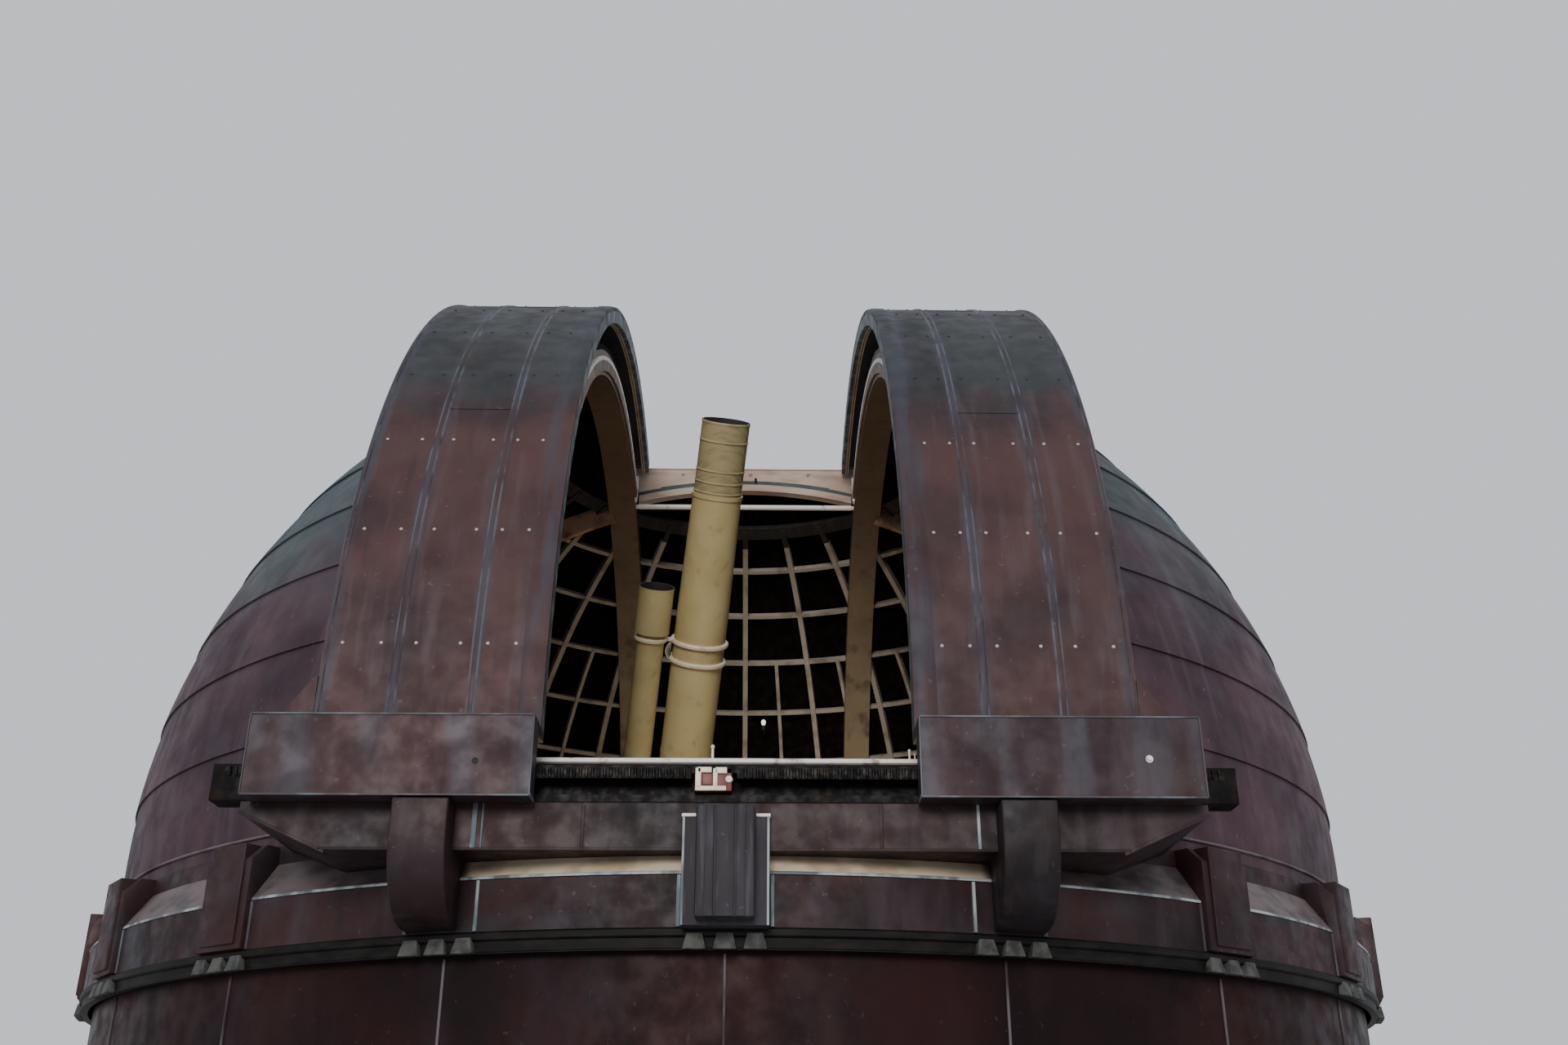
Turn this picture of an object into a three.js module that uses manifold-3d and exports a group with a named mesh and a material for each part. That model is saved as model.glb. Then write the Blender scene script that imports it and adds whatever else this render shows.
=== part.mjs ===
// A rotating observatory dome with two bi-parting shutters, clad in copper, on its fixed round drum,
// with the long refracting telescope that looks out of the open slit.
// Millimetres, +Z up. The origin is on the ground at the centre of the drum, and the slit faces -Y.

import * as THREE from "three";
import { mergeVertices } from "three/addons/utils/BufferGeometryUtils.js";
import Module from "manifold-3d";

const wasm = await Module();
wasm.setup();

// Driving dimensions. Heights below are measured from the centre of the dome's sphere.
const CENTRE_HEIGHT = 3750; // the sphere's centre above the ground
const GROUND = -CENTRE_HEIGHT;
const DOME_RADIUS = 4570; // outer face of the copper shell
const SHELL_THICKNESS = 40;
const SHELL_BOTTOM = -400;
const BAYS = 20; // pilasters, and sheets of the drum, round the building
const BAY = 360 / BAYS;
const FACETS_PER_BAY = 2;
const FIRST_SEAM = 3.1; // latitude of the lowest lap between copper courses
const COURSE = 7.45; // degrees of latitude from lap to lap
const GAP = 0.3; // between pieces that rest on each other
const SEGMENTS = 5; // nodes that the drum wall and the belt are made in
const SEGMENT_SEAM = 0.002; // degrees between them
const SEGMENT_START = -1.5; // where the first one starts, in bays from the front

// The slit, its two girders and the raised coaming along its edges
const SLIT_HALF = 1085;
const SLIT_REAR = 1300; // how far behind the zenith the slit runs
const SILL_HEIGHT = -128;
const GIRDER_INNER_RADIUS = 4200;
const GIRDER_WIDTH = 265;
const COAMING_THICKNESS = 20;
const COAMING_INNER_RADIUS = 4230;
const COAMING_RADIUS = 4345;
const COAMING_BITE = 0.1; // how far the coaming plate reaches into the girder's web
const COAMING_SETBACK = 55; // the coaming ends this far in front of the rear rib
const SILL_FRONT = -4600;
const SILL_BACK = -4500;
const SILL_THICKNESS = 32;

// The two shutters: arches of sheet copper on a frame, which part sideways along level rails
const SHUTTER_RADIUS = 4716;
const SHUTTER_SKIN = 30;
const SHUTTER_INNER_EDGE = 969;
const SHUTTER_OUTER_EDGE = 2152;
const SHUTTER_FRONT_ANGLE = 0.5; // degrees from the front horizon, over the top
const SHUTTER_REAR_ANGLE = 105.5;
const INNER_FRAME_RADIUS = 4596;
const OUTER_FRAME_RADIUS = 4450;
const FRAME_PLATE = 25;
const FRAME_FLANGE = 70;
const FRAME_FLANGE_THICKNESS = 16;
const ARCH_FACETS = 18;

// The box along the foot of each shutter, which hooks over the front rail
const APRON_OUTER_END = 2395;
const APRON_FRONT = -4936;
const APRON_BACK = -4790;
const APRON_TOP = 35;
const APRON_BOTTOM = -383;
const APRON_SHEET = 30;
const APRON_LEDGE = 55;
const APRON_LEDGE_BACK = -4590;
const APRON_LAP = 10; // how far its hollow and its ledge are drawn past its back face
const WHEEL_WIDTH = 60;
const WHEEL_SIDES = 12;
const WHEEL_INSET = 180; // from the ends of the apron or carriage
const WHEEL_LINE = -4690; // the front wheels' centre line on the rail
const WHEEL_BITE = 4; // how far a wheel's round reaches into the plate over it

// The front rail, and the beam, corbels and pilaster under it
const RAIL_HALF = 2600;
const RAIL_FRONT = -4770;
const RAIL_BACK = -4612;
const RAIL_TOP = -185;
const RAIL_BOTTOM = -371.7;
const BEAM_FRONT = -4760;
const BEAM_BACK = -3700; // how far in it is drawn before the dome is cut from it
const BEAM_TOP = -372;
const BEAM_BOTTOM = -629;
const BEAM_TIP = 2440;
const BEAM_FOOT = 2000;
const BEAM_TIP_HEIGHT = 60;
const GEARBOX_LEFT = -165;
const GEARBOX_RIGHT = 25;
const GEARBOX_BOTTOM = -315;
const GEARBOX_TOP = -193;
const GEARBOX_FRONT = -4784;
const GEARBOX_BACK = -4653;
const CORBEL_CENTRE = 1500;
const CORBEL_WIDTH = 280;
const CORBEL_FRONT = -4950;
const CORBEL_TOP = -395;
const CORBEL_BOTTOM = -1000;
const CORBEL_RADIUS = 430;
const CORBEL_STEPS = 8;
const CORBEL_HEEL = 30; // its curve ends this far in front of the belt
const FRONT_REACH = -4300; // how far in the front pieces are drawn before the dome is cut from them

// The belt that hangs over the drum, in radius and height
const BELT_TOP_RADIUS = 4552;
const BELT_FACE_RADIUS = 4690;
const BELT_INNER_RADIUS = 4630;
const BELT_SHOULDER = -500;
const BELT_FACE_TOP = -698;
const BELT_INNER_SHOULDER = -510;
const BELT_INNER_FACE_TOP = -690;
const BELT_BOTTOM = -1083;
const PILASTER_REACH = -4500; // how far in the pilasters are drawn before the belt's inside is cut
const PILASTER_PLATE_BOTTOM = -985;
const PILASTER_PLATE_TOP = -402;
const PILASTER_PLATE_SLOPE = [90, 85]; // depth and height of its sloping head
const PILASTER_PLATE_WIDTH = 390;
const PILASTER_PLATE_RADIUS = 4725;
const PILASTER_WIDTH = 290;
const PILASTER_RADIUS = 4742;
const PILASTER_TOP = -402;
const PILASTER_BOTTOM = -945;
const CENTRE_PILASTER_WIDTH = 292;
const CENTRE_PILASTER_FRONT = -4936;
const CENTRE_PILASTER_BOTTOM = -966;
const CENTRE_PILASTER_TOP = -417;
const CENTRE_PILASTER_BEVEL = [45, 28]; // width and depth of its bevelled edges
const CENTRE_PLATE_WIDTH = 430;
const CENTRE_PLATE_FRONT = -4806;
const CENTRE_PLATE_TOP = -454;

// The fixed drum and the roller track on top of it
const DRUM_RADIUS = 4606;
const DRUM_THICKNESS = 300;
const DRUM_TOP = -760;
const TRACK_RADIUS = 4446; // middle of the track
const TRACK_WIDTH = 220;
const FLOOR_THICKNESS = 120;
const TRACK_TOP = -700;
const ROLLERS = 10;
const ROLLER_RADIUS = 110;
const ROLLER_SIDES = 8;
const ROLLER_WIDTH = 90;
const ROLLER_OFFSET = 0.25; // of a step, which keeps the rollers off the front
const BASE_RING_INNER = 4260;
const BASE_RING_BOTTOM = -520;

// The bars of the steel lattice inside the shell
const RIB_STEP = 36;
const RIB_WIDTH = 52;
const RIB_DEPTH = 70;
const RIB_FOOT = -6; // latitude of its lower end
const RIB_CLEARANCE = 3; // between rib and shell
const RIB_HEAD_SINK = 3; // how far a rib's head stays behind the outer face of the ring beam
const PURLIN_OUTER = 4518;
const PURLIN_INNER = 4468;
const PURLIN_HEIGHT = 42;
const PURLIN_LATITUDES = [29, 58.4];
const RING_BEAM_LATITUDE = 65;
const RING_BEAM_HEIGHT = 150;

// The rail and fascia behind the slit, which carry the shutters' rear ends
const FASCIA_TOP = 4505;
const FASCIA_THICKNESS = 18;
const REAR_RIB_THICKNESS = 60;
const REAR_RIB_RADIUS = 4462; // inner face of the arched rib at the back of the slit
const REAR_RAIL_FRONT = 1330;
const REAR_RAIL_BACK = 1470;
const REAR_RAIL_TOP = 4400;
const REAR_RAIL_HALF = 2500;
const REAR_RAIL_DEPTH = 120;
const REAR_RAIL_FOOT = 1500;
const REAR_RAIL_LOW = 3900;
const CARRIAGE_TOP = 4544;
const CARRIAGE_PLATE = 29;
const CARRIAGE_INSET = 31;
const CARRIAGE_FRONT = 1200;
const CARRIAGE_BACK_PLATE = 18;
const CARRIAGE_DROP = 60; // its back plate reaches this far below the rail's top
const CARRIAGE_BACK = 1500;
const CARRIAGE_CUT_START = 80; // the arch is cut from the carriage from this angle on
const CARRIAGE_CUT_INSIDE = 450; // how far the cut runs inside the frame, and outside the skin
const CARRIAGE_CUT_OUTSIDE = 50;
const CARRIAGE_CUT_MARGIN = 0.01; // degrees past the end of the arch
const CARRIAGE_CUT_FACETS = 8;
const TIE_ROD_SETBACK = 27.5; // its centre line is this far in front of the rear rib
const TIE_ROD_HEIGHT = 4069;
const TIE_ROD_RADIUS = 25;
const TIE_ROD_SIDES = 12;

// The telescope: an equatorial mount on an iron column over a masonry pier
const LATITUDE = 34; // tilt of the polar axis
const ALTITUDE = 54.7; // how high the telescope looks
const MOUNT_AZIMUTH = 11.8; // the meridian against the slit
const MOUNT_HEIGHT = 40;
const TUBE_OFFSET = 566.6;
const TUBE_RADIUS = 200;
const TUBE_NECK_RADIUS = 187;
const TUBE_TAPER = 2300; // where the tube starts to taper
const TUBE_WALL = 12;
const DEW_CAP_RADIUS = 183;
const DEW_CAP_START = 3247;
const DEW_CAP_END = 3807;
const DEW_CAP_DEPTH = 420;
const TUBE_TAIL = -1300;
const FOCUSER_END = -1741;
const FOCUSER_RADIUS = 50;
const FOCUSER_LENGTH = 160;
const TAIL_NECK_RADIUS = 100;
const TAIL_NECK_END = -1461;
const TAIL_RIM = 60;
const GUIDE_OFFSET = 379.8;
const GUIDE_RADIUS = 107;
const GUIDE_CAP_RADIUS = 137;
const GUIDE_CAP_START = 2120;
const GUIDE_END = 2484;
const GUIDE_TAIL = -900;
const GUIDE_FOCUSER_RADIUS = 60;
const GUIDE_FOCUSER_LENGTH = 150;
const GUIDE_SHOULDER = 230;
const GUIDE_CAP_DEPTH = 240;
const UPPER_CLAMP = 2059; // where the clamp rings sit along the tube
const LOWER_CLAMP = 1913;
const CLAMP_HEIGHT = 32;
const CLAMP_WIDTH = 26;
const GUIDE_CLAMP_WIDTH = 24;
const CLAMP_ARM_WIDTH = 60;
const CLAMP_ARM_ROOT = 10; // how far its ends reach into the rings
const CLAMP_LINK = [215, 262, 30]; // from and to off the tube's axis, and width
const TUBE_SIDES = 20;
const SMALL_SIDES = 16;
const DEC_HOUSING_RADIUS = 130;
const DEC_HOUSING_NEAR = 214;
const DEC_HOUSING_FAR = 480;
const DEC_HOUSING_NARROW = 97.5;
const HUB_RADIUS = 150;
const HUB_END = -100;
const CRADLE_LENGTH = 620;
const CRADLE_WIDTH = 260;
const CRADLE_REACH = 60; // into the round of the tube
const AXLE_GAP = 0.5; // between pieces that turn against each other
const WEIGHT_SHAFT_RADIUS = 60;
const WEIGHT_RADIUS = 250;
const WEIGHT_NEAR = 560;
const WEIGHT_FAR = 800;
const WEIGHT_SHAFT_END = 900;
const POLAR_HOUSING_RADIUS = 160;
const POLAR_HOUSING_START = 200;
const POLAR_HOUSING_END = 900;
const POLAR_HOUSING_NECK = 128; // radius at its lower end
const POLAR_HOUSING_NECK_LENGTH = 60;
const COLUMN_RADIUS = 170;
const COLUMN_HEAD = [-650, -420]; // local y and height where the leaning column meets the housing
const COLUMN_FOOT_SETBACK = -871;
const COLUMN_FOOT_SPREAD = 1.15; // how much wider the column is at its foot
const COLUMN_ROOT = 80; // its foot is drawn this far down before the pier's top is cut
const COLUMN_FLANGE = 620;
const COLUMN_FLANGE_THICKNESS = 60;
const PIER_WIDTH = 900;
const PIER_TOP = -2000;

const radians = THREE.MathUtils.degToRad;
const shellInner = DOME_RADIUS - SHELL_THICKNESS;

// Materials, with the colours of the real surfaces
function finish(colour, roughness, metalness) {
  return new THREE.MeshStandardMaterial({ color: colour, roughness, metalness });
}
const copper = finish(0x4a3336, 0.55, 0.5);
const greenCopper = finish(0x4d5652, 0.65, 0.35);
const wallCopper = finish(0x3c2422, 0.55, 0.5);
const railSteel = finish(0x15171b, 0.6, 0.6);
const girderPaint = finish(0x6b5a40, 0.7, 0.1);
const latticePaint = finish(0x7d7465, 0.7, 0.1);
const fasciaPaint = finish(0xb89b86, 0.7, 0.05);
const whitePaint = finish(0xd9d2c6, 0.6, 0.05);
const tubePaint = finish(0x9b8456, 0.5, 0.1);
const ringPaint = finish(0xe2d6b5, 0.45, 0.1);
const castIron = finish(0x3d4238, 0.6, 0.4);
const concrete = finish(0x8d8a84, 0.95, 0);
const redPaint = finish(0x6e2620, 0.6, 0.1);

// A closed geometry as a solid that can be joined and cut
function solid(geometry) {
  const bare = new THREE.BufferGeometry();
  bare.setAttribute("position", geometry.getAttribute("position").clone());
  if (geometry.index) bare.setIndex(geometry.index.clone());
  const merged = mergeVertices(bare, 1e-3);
  const source = merged.index.array;
  const faces = [];
  for (let i = 0; i < source.length; i += 3) {
    const [a, b, c] = [source[i], source[i + 1], source[i + 2]];
    if (a !== b && b !== c && c !== a) faces.push(a, b, c);
  }
  const triVerts = new Uint32Array(faces);
  const vertProperties = new Float32Array(merged.getAttribute("position").array);
  return new wasm.Manifold(new wasm.Mesh({ numProp: 3, vertProperties, triVerts }));
}

function join(first, ...others) {
  return others.reduce((sum, next) => sum.add(next), first);
}

function cut(body, ...tools) {
  return tools.reduce((rest, tool) => rest.subtract(tool), body);
}

function geometryOf(body) {
  const made = body.getMesh();
  const geometry = new THREE.BufferGeometry();
  geometry.setAttribute("position", new THREE.BufferAttribute(made.vertProperties.slice(), 3));
  geometry.setIndex(new THREE.BufferAttribute(made.triVerts.slice(), 1));
  return geometry;
}

function piece(group, name, material, shape) {
  const mesh = new THREE.Mesh(geometryOf(shape), material);
  mesh.name = name;
  group.add(mesh);
  return mesh;
}

// A box between two corners
function box(x0, y0, z0, x1, y1, z1) {
  const geometry = new THREE.BoxGeometry(x1 - x0, y1 - y0, z1 - z0);
  geometry.translate((x0 + x1) / 2, (y0 + y1) / 2, (z0 + z1) / 2);
  return solid(geometry);
}

// A solid of revolution about +Z. The outline is a list of [radius, height], and starts and ends
// on the axis or closes on itself. The seam lies towards -Y.
function turned(outline, closed, facets = BAYS * FACETS_PER_BAY) {
  const points = outline.map(([r, z]) => new THREE.Vector2(r, z));
  if (closed) points.push(points[0].clone());
  const geometry = new THREE.LatheGeometry(points, facets);
  geometry.rotateX(Math.PI / 2);
  return solid(geometry);
}

// A flat outline swept along X, given as [y, z] points
function alongX(outline, x0, x1) {
  const shape = new THREE.Shape(outline.map(([y, z]) => new THREE.Vector2(y, z)));
  const geometry = new THREE.ExtrudeGeometry(shape, { depth: x1 - x0, bevelEnabled: false });
  const basis = new THREE.Matrix4().makeBasis(
    new THREE.Vector3(0, 1, 0),
    new THREE.Vector3(0, 0, 1),
    new THREE.Vector3(1, 0, 0),
  );
  geometry.applyMatrix4(basis);
  geometry.translate(x0, 0, 0);
  return solid(geometry);
}

// A flat outline swept along Y, given as [x, z] points
function alongY(outline, y0, y1) {
  const shape = new THREE.Shape(outline.map(([x, z]) => new THREE.Vector2(x, z)));
  const geometry = new THREE.ExtrudeGeometry(shape, { depth: y1 - y0, bevelEnabled: false });
  geometry.rotateX(Math.PI / 2);
  geometry.translate(0, y1, 0);
  return solid(geometry);
}

// A flat outline swept upwards, given as [x, y] points
function upwards(outline, z0, z1) {
  const shape = new THREE.Shape(outline.map(([x, y]) => new THREE.Vector2(x, y)));
  const geometry = new THREE.ExtrudeGeometry(shape, { depth: z1 - z0, bevelEnabled: false });
  geometry.translate(0, 0, z0);
  return solid(geometry);
}

// Points on a circle in the YZ plane, by the angle from the front horizon over the top
function arc(radius, from, to, count) {
  const points = [];
  for (let i = 0; i <= count; i++) {
    const angle = radians(from + ((to - from) * i) / count);
    points.push([-radius * Math.cos(angle), radius * Math.sin(angle)]);
  }
  return points;
}

// A curved band about the X axis between two radii, two angles and two planes
function archBand(inner, outer, from, to, x0, x1, facets = ARCH_FACETS) {
  const outline = [...arc(outer, from, to, facets), ...arc(inner, to, from, facets)];
  return alongX(outline, x0, x1);
}

// A wedge about the Z axis between two azimuths, counted from -Y towards +X
function wedge(from, to, z0, z1) {
  const reach = 2 * DOME_RADIUS;
  const steps = 4;
  const outline = [[0, 0]];
  for (let i = 0; i <= steps; i++) {
    const azimuth = radians(from + ((to - from) * i) / steps);
    outline.push([reach * Math.sin(azimuth), -reach * Math.cos(azimuth)]);
  }
  return upwards(outline, z0, z1);
}

function mirrored(body) {
  return body.mirror([1, 0, 0]);
}

// The profile of a ball in the copper's flat courses, from a height up to the pole
function sphereOutline(radius, bottom) {
  const points = [[Math.sqrt(radius ** 2 - bottom ** 2), bottom]];
  for (let latitude = FIRST_SEAM; latitude < 90; latitude += COURSE) {
    points.push([radius * Math.cos(radians(latitude)), radius * Math.sin(radians(latitude))]);
  }
  points.push([0, radius]);
  return points;
}

function sphereShell(outer, inner, bottom) {
  return turned([...sphereOutline(inner, bottom).reverse(), ...sphereOutline(outer, bottom)], false);
}

function sphereBody(radius, bottom) {
  return turned([[0, bottom], ...sphereOutline(radius, bottom)], false);
}

// The fixed drum, its floor and its roller track

const building = new THREE.Group();
building.position.z = CENTRE_HEIGHT;

function buildDrum() {
  const inner = DRUM_RADIUS - DRUM_THICKNESS;
  const floorTop = GROUND + FLOOR_THICKNESS;
  const floorRadius = inner - GAP;
  const floor = turned([[0, GROUND], [floorRadius, GROUND], [floorRadius, floorTop], [0, floorTop]], false);
  piece(building, "floor_slab", concrete, floor);
  const wall = turned(
    [[inner, GROUND], [DRUM_RADIUS, GROUND], [DRUM_RADIUS, DRUM_TOP], [inner, DRUM_TOP]],
    true,
  );
  for (let i = 0; i < SEGMENTS; i++) {
    const from = (360 / SEGMENTS) * i + BAY * SEGMENT_START;
    const to = from + 360 / SEGMENTS;
    const part = wall.intersect(wedge(from + SEGMENT_SEAM, to - SEGMENT_SEAM, GROUND - 1, DRUM_TOP + 1));
    piece(building, `drum_wall_${i + 1}`, wallCopper, part);
  }
}

function buildTrack() {
  const half = TRACK_WIDTH / 2;
  let track = turned(
    [
      [TRACK_RADIUS - half, DRUM_TOP + GAP],
      [TRACK_RADIUS + half, DRUM_TOP + GAP],
      [TRACK_RADIUS + half, TRACK_TOP],
      [TRACK_RADIUS - half, TRACK_TOP],
    ],
    true,
  );
  const axleHeight = BASE_RING_BOTTOM - GAP - ROLLER_RADIUS * Math.cos(Math.PI / ROLLER_SIDES);
  for (let i = 0; i < ROLLERS; i++) {
    const turn = radians((360 / ROLLERS) * (i + ROLLER_OFFSET));
    const roller = new THREE.CylinderGeometry(ROLLER_RADIUS, ROLLER_RADIUS, ROLLER_WIDTH, ROLLER_SIDES);
    roller.rotateY(Math.PI / ROLLER_SIDES);
    roller.translate(0, -TRACK_RADIUS, axleHeight);
    roller.rotateZ(turn);
    track = join(track, solid(roller));
  }
  piece(building, "roller_track", railSteel, track);
}

// The mount turns to the meridian, so everything of the telescope stands in a turned group
const mountGroup = new THREE.Group();
mountGroup.rotation.z = radians(MOUNT_AZIMUTH);
building.add(mountGroup);
const polarDirection = new THREE.Vector3(0, Math.cos(radians(LATITUDE)), Math.sin(radians(LATITUDE)));
const tubeDirection = new THREE.Vector3(0, -Math.cos(radians(ALTITUDE)), Math.sin(radians(ALTITUDE)));

// A solid of revolution on a line through a point, with heights counted along the line
function turnedAlong(outline, closed, origin, direction, facets) {
  const points = outline.map(([r, z]) => new THREE.Vector2(r, z));
  if (closed) points.push(points[0].clone());
  const geometry = new THREE.LatheGeometry(points, facets);
  const turn = new THREE.Quaternion().setFromUnitVectors(new THREE.Vector3(0, 1, 0), direction);
  geometry.applyQuaternion(turn);
  geometry.translate(origin.x, origin.y, origin.z);
  return solid(geometry);
}

const mountCentre = new THREE.Vector3(0, 0, MOUNT_HEIGHT);

function buildPier() {
  const floorTop = GROUND + FLOOR_THICKNESS + GAP;
  const half = PIER_WIDTH / 2;
  const middle = COLUMN_FOOT_SETBACK;
  const base = box(-half, middle - half, floorTop, half, middle + half, PIER_TOP);
  piece(mountGroup, "pier_base", concrete, base);
  const housing = turnedAlong(
    [
      [0, -POLAR_HOUSING_END],
      [POLAR_HOUSING_NECK, -POLAR_HOUSING_END],
      [POLAR_HOUSING_RADIUS, -POLAR_HOUSING_END + POLAR_HOUSING_NECK_LENGTH],
      [POLAR_HOUSING_RADIUS, -POLAR_HOUSING_START],
      [0, -POLAR_HOUSING_START],
    ],
    false,
    mountCentre,
    polarDirection,
    SMALL_SIDES,
  );
  const foot = new THREE.Vector3(0, COLUMN_FOOT_SETBACK, PIER_TOP);
  const head = new THREE.Vector3(0, ...COLUMN_HEAD);
  const lean = head.clone().sub(foot).normalize();
  const length = head.distanceTo(foot);
  const shaft = turnedAlong(
    [
      [0, -COLUMN_ROOT],
      [COLUMN_RADIUS * COLUMN_FOOT_SPREAD, -COLUMN_ROOT],
      [COLUMN_RADIUS, length],
      [0, length],
    ],
    false,
    foot,
    lean,
    SMALL_SIDES,
  );
  const reach = COLUMN_FLANGE / 2;
  const flangeTop = PIER_TOP + COLUMN_FLANGE_THICKNESS;
  const flange = box(-reach, middle - reach, PIER_TOP + GAP, reach, middle + reach, flangeTop);
  const above = box(-PIER_WIDTH, middle - PIER_WIDTH, PIER_TOP + GAP, PIER_WIDTH, PIER_WIDTH, MOUNT_HEIGHT);
  const space = turnedAlong(
    [
      [0, -2 * POLAR_HOUSING_END],
      [POLAR_HOUSING_RADIUS + GAP, -2 * POLAR_HOUSING_END],
      [POLAR_HOUSING_RADIUS + GAP, POLAR_HOUSING_END],
      [0, POLAR_HOUSING_END],
    ],
    false,
    mountCentre,
    polarDirection,
    SMALL_SIDES,
  );
  piece(mountGroup, "polar_housing", castIron, housing);
  piece(mountGroup, "pier_column", castIron, largest(cut(join(shaft, flange).intersect(above), space)));
}

// The biggest of the bodies that a cut leaves
function largest(body) {
  return body.decompose().reduce((best, next) => (next.volume() > best.volume() ? next : best));
}

// The telescope itself, which turns on the declination axis

function buildTelescope() {
  const across = new THREE.Vector3(1, 0, 0);
  const decHousing = turnedAlong(
    [
      [0, -DEC_HOUSING_NEAR],
      [DEC_HOUSING_RADIUS, -DEC_HOUSING_NEAR],
      [DEC_HOUSING_RADIUS, DEC_HOUSING_NEAR],
      [DEC_HOUSING_NARROW, DEC_HOUSING_FAR],
      [0, DEC_HOUSING_FAR],
    ],
    false,
    mountCentre,
    across,
    SMALL_SIDES,
  );
  const hub = turnedAlong(
    [
      [0, -POLAR_HOUSING_START + AXLE_GAP],
      [HUB_RADIUS, -POLAR_HOUSING_START + AXLE_GAP],
      [HUB_RADIUS, HUB_END],
      [0, HUB_END],
    ],
    false,
    mountCentre,
    polarDirection,
    SMALL_SIDES,
  );
  piece(mountGroup, "declination_housing", castIron, join(decHousing, hub));

  const tubeCentre = mountCentre.clone().add(new THREE.Vector3(-TUBE_OFFSET, 0, 0));
  const guideCentre = tubeCentre.clone().add(new THREE.Vector3(-GUIDE_OFFSET, 0, 0));
  const tube = turnedAlong(
    [
      [0, TUBE_TAIL],
      [TUBE_RADIUS, TUBE_TAIL],
      [TUBE_RADIUS, TUBE_TAPER],
      [TUBE_NECK_RADIUS, DEW_CAP_START - GAP],
      [0, DEW_CAP_START - GAP],
    ],
    false,
    tubeCentre,
    tubeDirection,
    TUBE_SIDES,
  );
  piece(mountGroup, "main_tube", tubePaint, tube);
  const dewCap = turnedAlong(
    [
      [0, DEW_CAP_START],
      [DEW_CAP_RADIUS, DEW_CAP_START],
      [DEW_CAP_RADIUS, DEW_CAP_END],
      [DEW_CAP_RADIUS - TUBE_WALL, DEW_CAP_END],
      [DEW_CAP_RADIUS - TUBE_WALL, DEW_CAP_END - DEW_CAP_DEPTH],
      [0, DEW_CAP_END - DEW_CAP_DEPTH],
    ],
    false,
    tubeCentre,
    tubeDirection,
    TUBE_SIDES,
  );
  piece(mountGroup, "dew_cap", tubePaint, dewCap);
  const tail = turnedAlong(
    [
      [0, FOCUSER_END],
      [FOCUSER_RADIUS, FOCUSER_END],
      [FOCUSER_RADIUS, FOCUSER_END + FOCUSER_LENGTH],
      [TAIL_NECK_RADIUS, FOCUSER_END + FOCUSER_LENGTH],
      [TAIL_NECK_RADIUS, TAIL_NECK_END],
      [TUBE_RADIUS, TUBE_TAIL - TAIL_RIM],
      [TUBE_RADIUS, TUBE_TAIL - GAP],
      [0, TUBE_TAIL - GAP],
    ],
    false,
    tubeCentre,
    tubeDirection,
    SMALL_SIDES,
  );
  piece(mountGroup, "tailpiece", castIron, tail);
  const guide = turnedAlong(
    [
      [0, GUIDE_TAIL],
      [GUIDE_FOCUSER_RADIUS, GUIDE_TAIL],
      [GUIDE_FOCUSER_RADIUS, GUIDE_TAIL + GUIDE_FOCUSER_LENGTH],
      [GUIDE_RADIUS, GUIDE_TAIL + GUIDE_SHOULDER],
      [GUIDE_RADIUS, GUIDE_CAP_START],
      [GUIDE_CAP_RADIUS, GUIDE_CAP_START],
      [GUIDE_CAP_RADIUS, GUIDE_END],
      [GUIDE_CAP_RADIUS - TUBE_WALL, GUIDE_END],
      [GUIDE_CAP_RADIUS - TUBE_WALL, GUIDE_END - GUIDE_CAP_DEPTH],
      [0, GUIDE_END - GUIDE_CAP_DEPTH],
    ],
    false,
    guideCentre,
    tubeDirection,
    SMALL_SIDES,
  );
  piece(mountGroup, "guide_tube", tubePaint, guide);

  // Cast rings round the main tube: the upper one also holds the guide tube, and a link joins them
  const tilt = new THREE.Quaternion().setFromUnitVectors(new THREE.Vector3(0, 1, 0), tubeDirection);
  function ringRound(centre, radius, width, station, facets) {
    const outline = [
      [radius + GAP, station],
      [radius + width, station],
      [radius + width, station + CLAMP_HEIGHT],
      [radius + GAP, station + CLAMP_HEIGHT],
    ];
    return turnedAlong(outline, true, centre, tubeDirection, facets);
  }
  function barBeside(near, reach, width, from, to) {
    const bar = new THREE.BoxGeometry(reach - near, to - from, width);
    bar.translate(-(near + reach) / 2, (from + to) / 2, 0);
    bar.applyQuaternion(tilt);
    bar.translate(tubeCentre.x, tubeCentre.y, tubeCentre.z);
    return solid(bar);
  }
  const upperRing = ringRound(tubeCentre, TUBE_RADIUS, CLAMP_WIDTH, UPPER_CLAMP, TUBE_SIDES);
  const guideRing = ringRound(guideCentre, GUIDE_RADIUS, GUIDE_CLAMP_WIDTH, UPPER_CLAMP, SMALL_SIDES);
  const armNear = TUBE_RADIUS + CLAMP_ARM_ROOT;
  const armFar = GUIDE_OFFSET - GUIDE_RADIUS - CLAMP_ARM_ROOT;
  const arm = barBeside(armNear, armFar, CLAMP_ARM_WIDTH, UPPER_CLAMP, UPPER_CLAMP + CLAMP_HEIGHT);
  piece(mountGroup, "upper_clamp_ring", ringPaint, join(upperRing, guideRing, arm));
  const lowerRing = ringRound(tubeCentre, TUBE_RADIUS, CLAMP_WIDTH, LOWER_CLAMP, TUBE_SIDES);
  const link = barBeside(...CLAMP_LINK, LOWER_CLAMP, UPPER_CLAMP - GAP);
  piece(mountGroup, "lower_clamp_ring", ringPaint, join(lowerRing, link));

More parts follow.
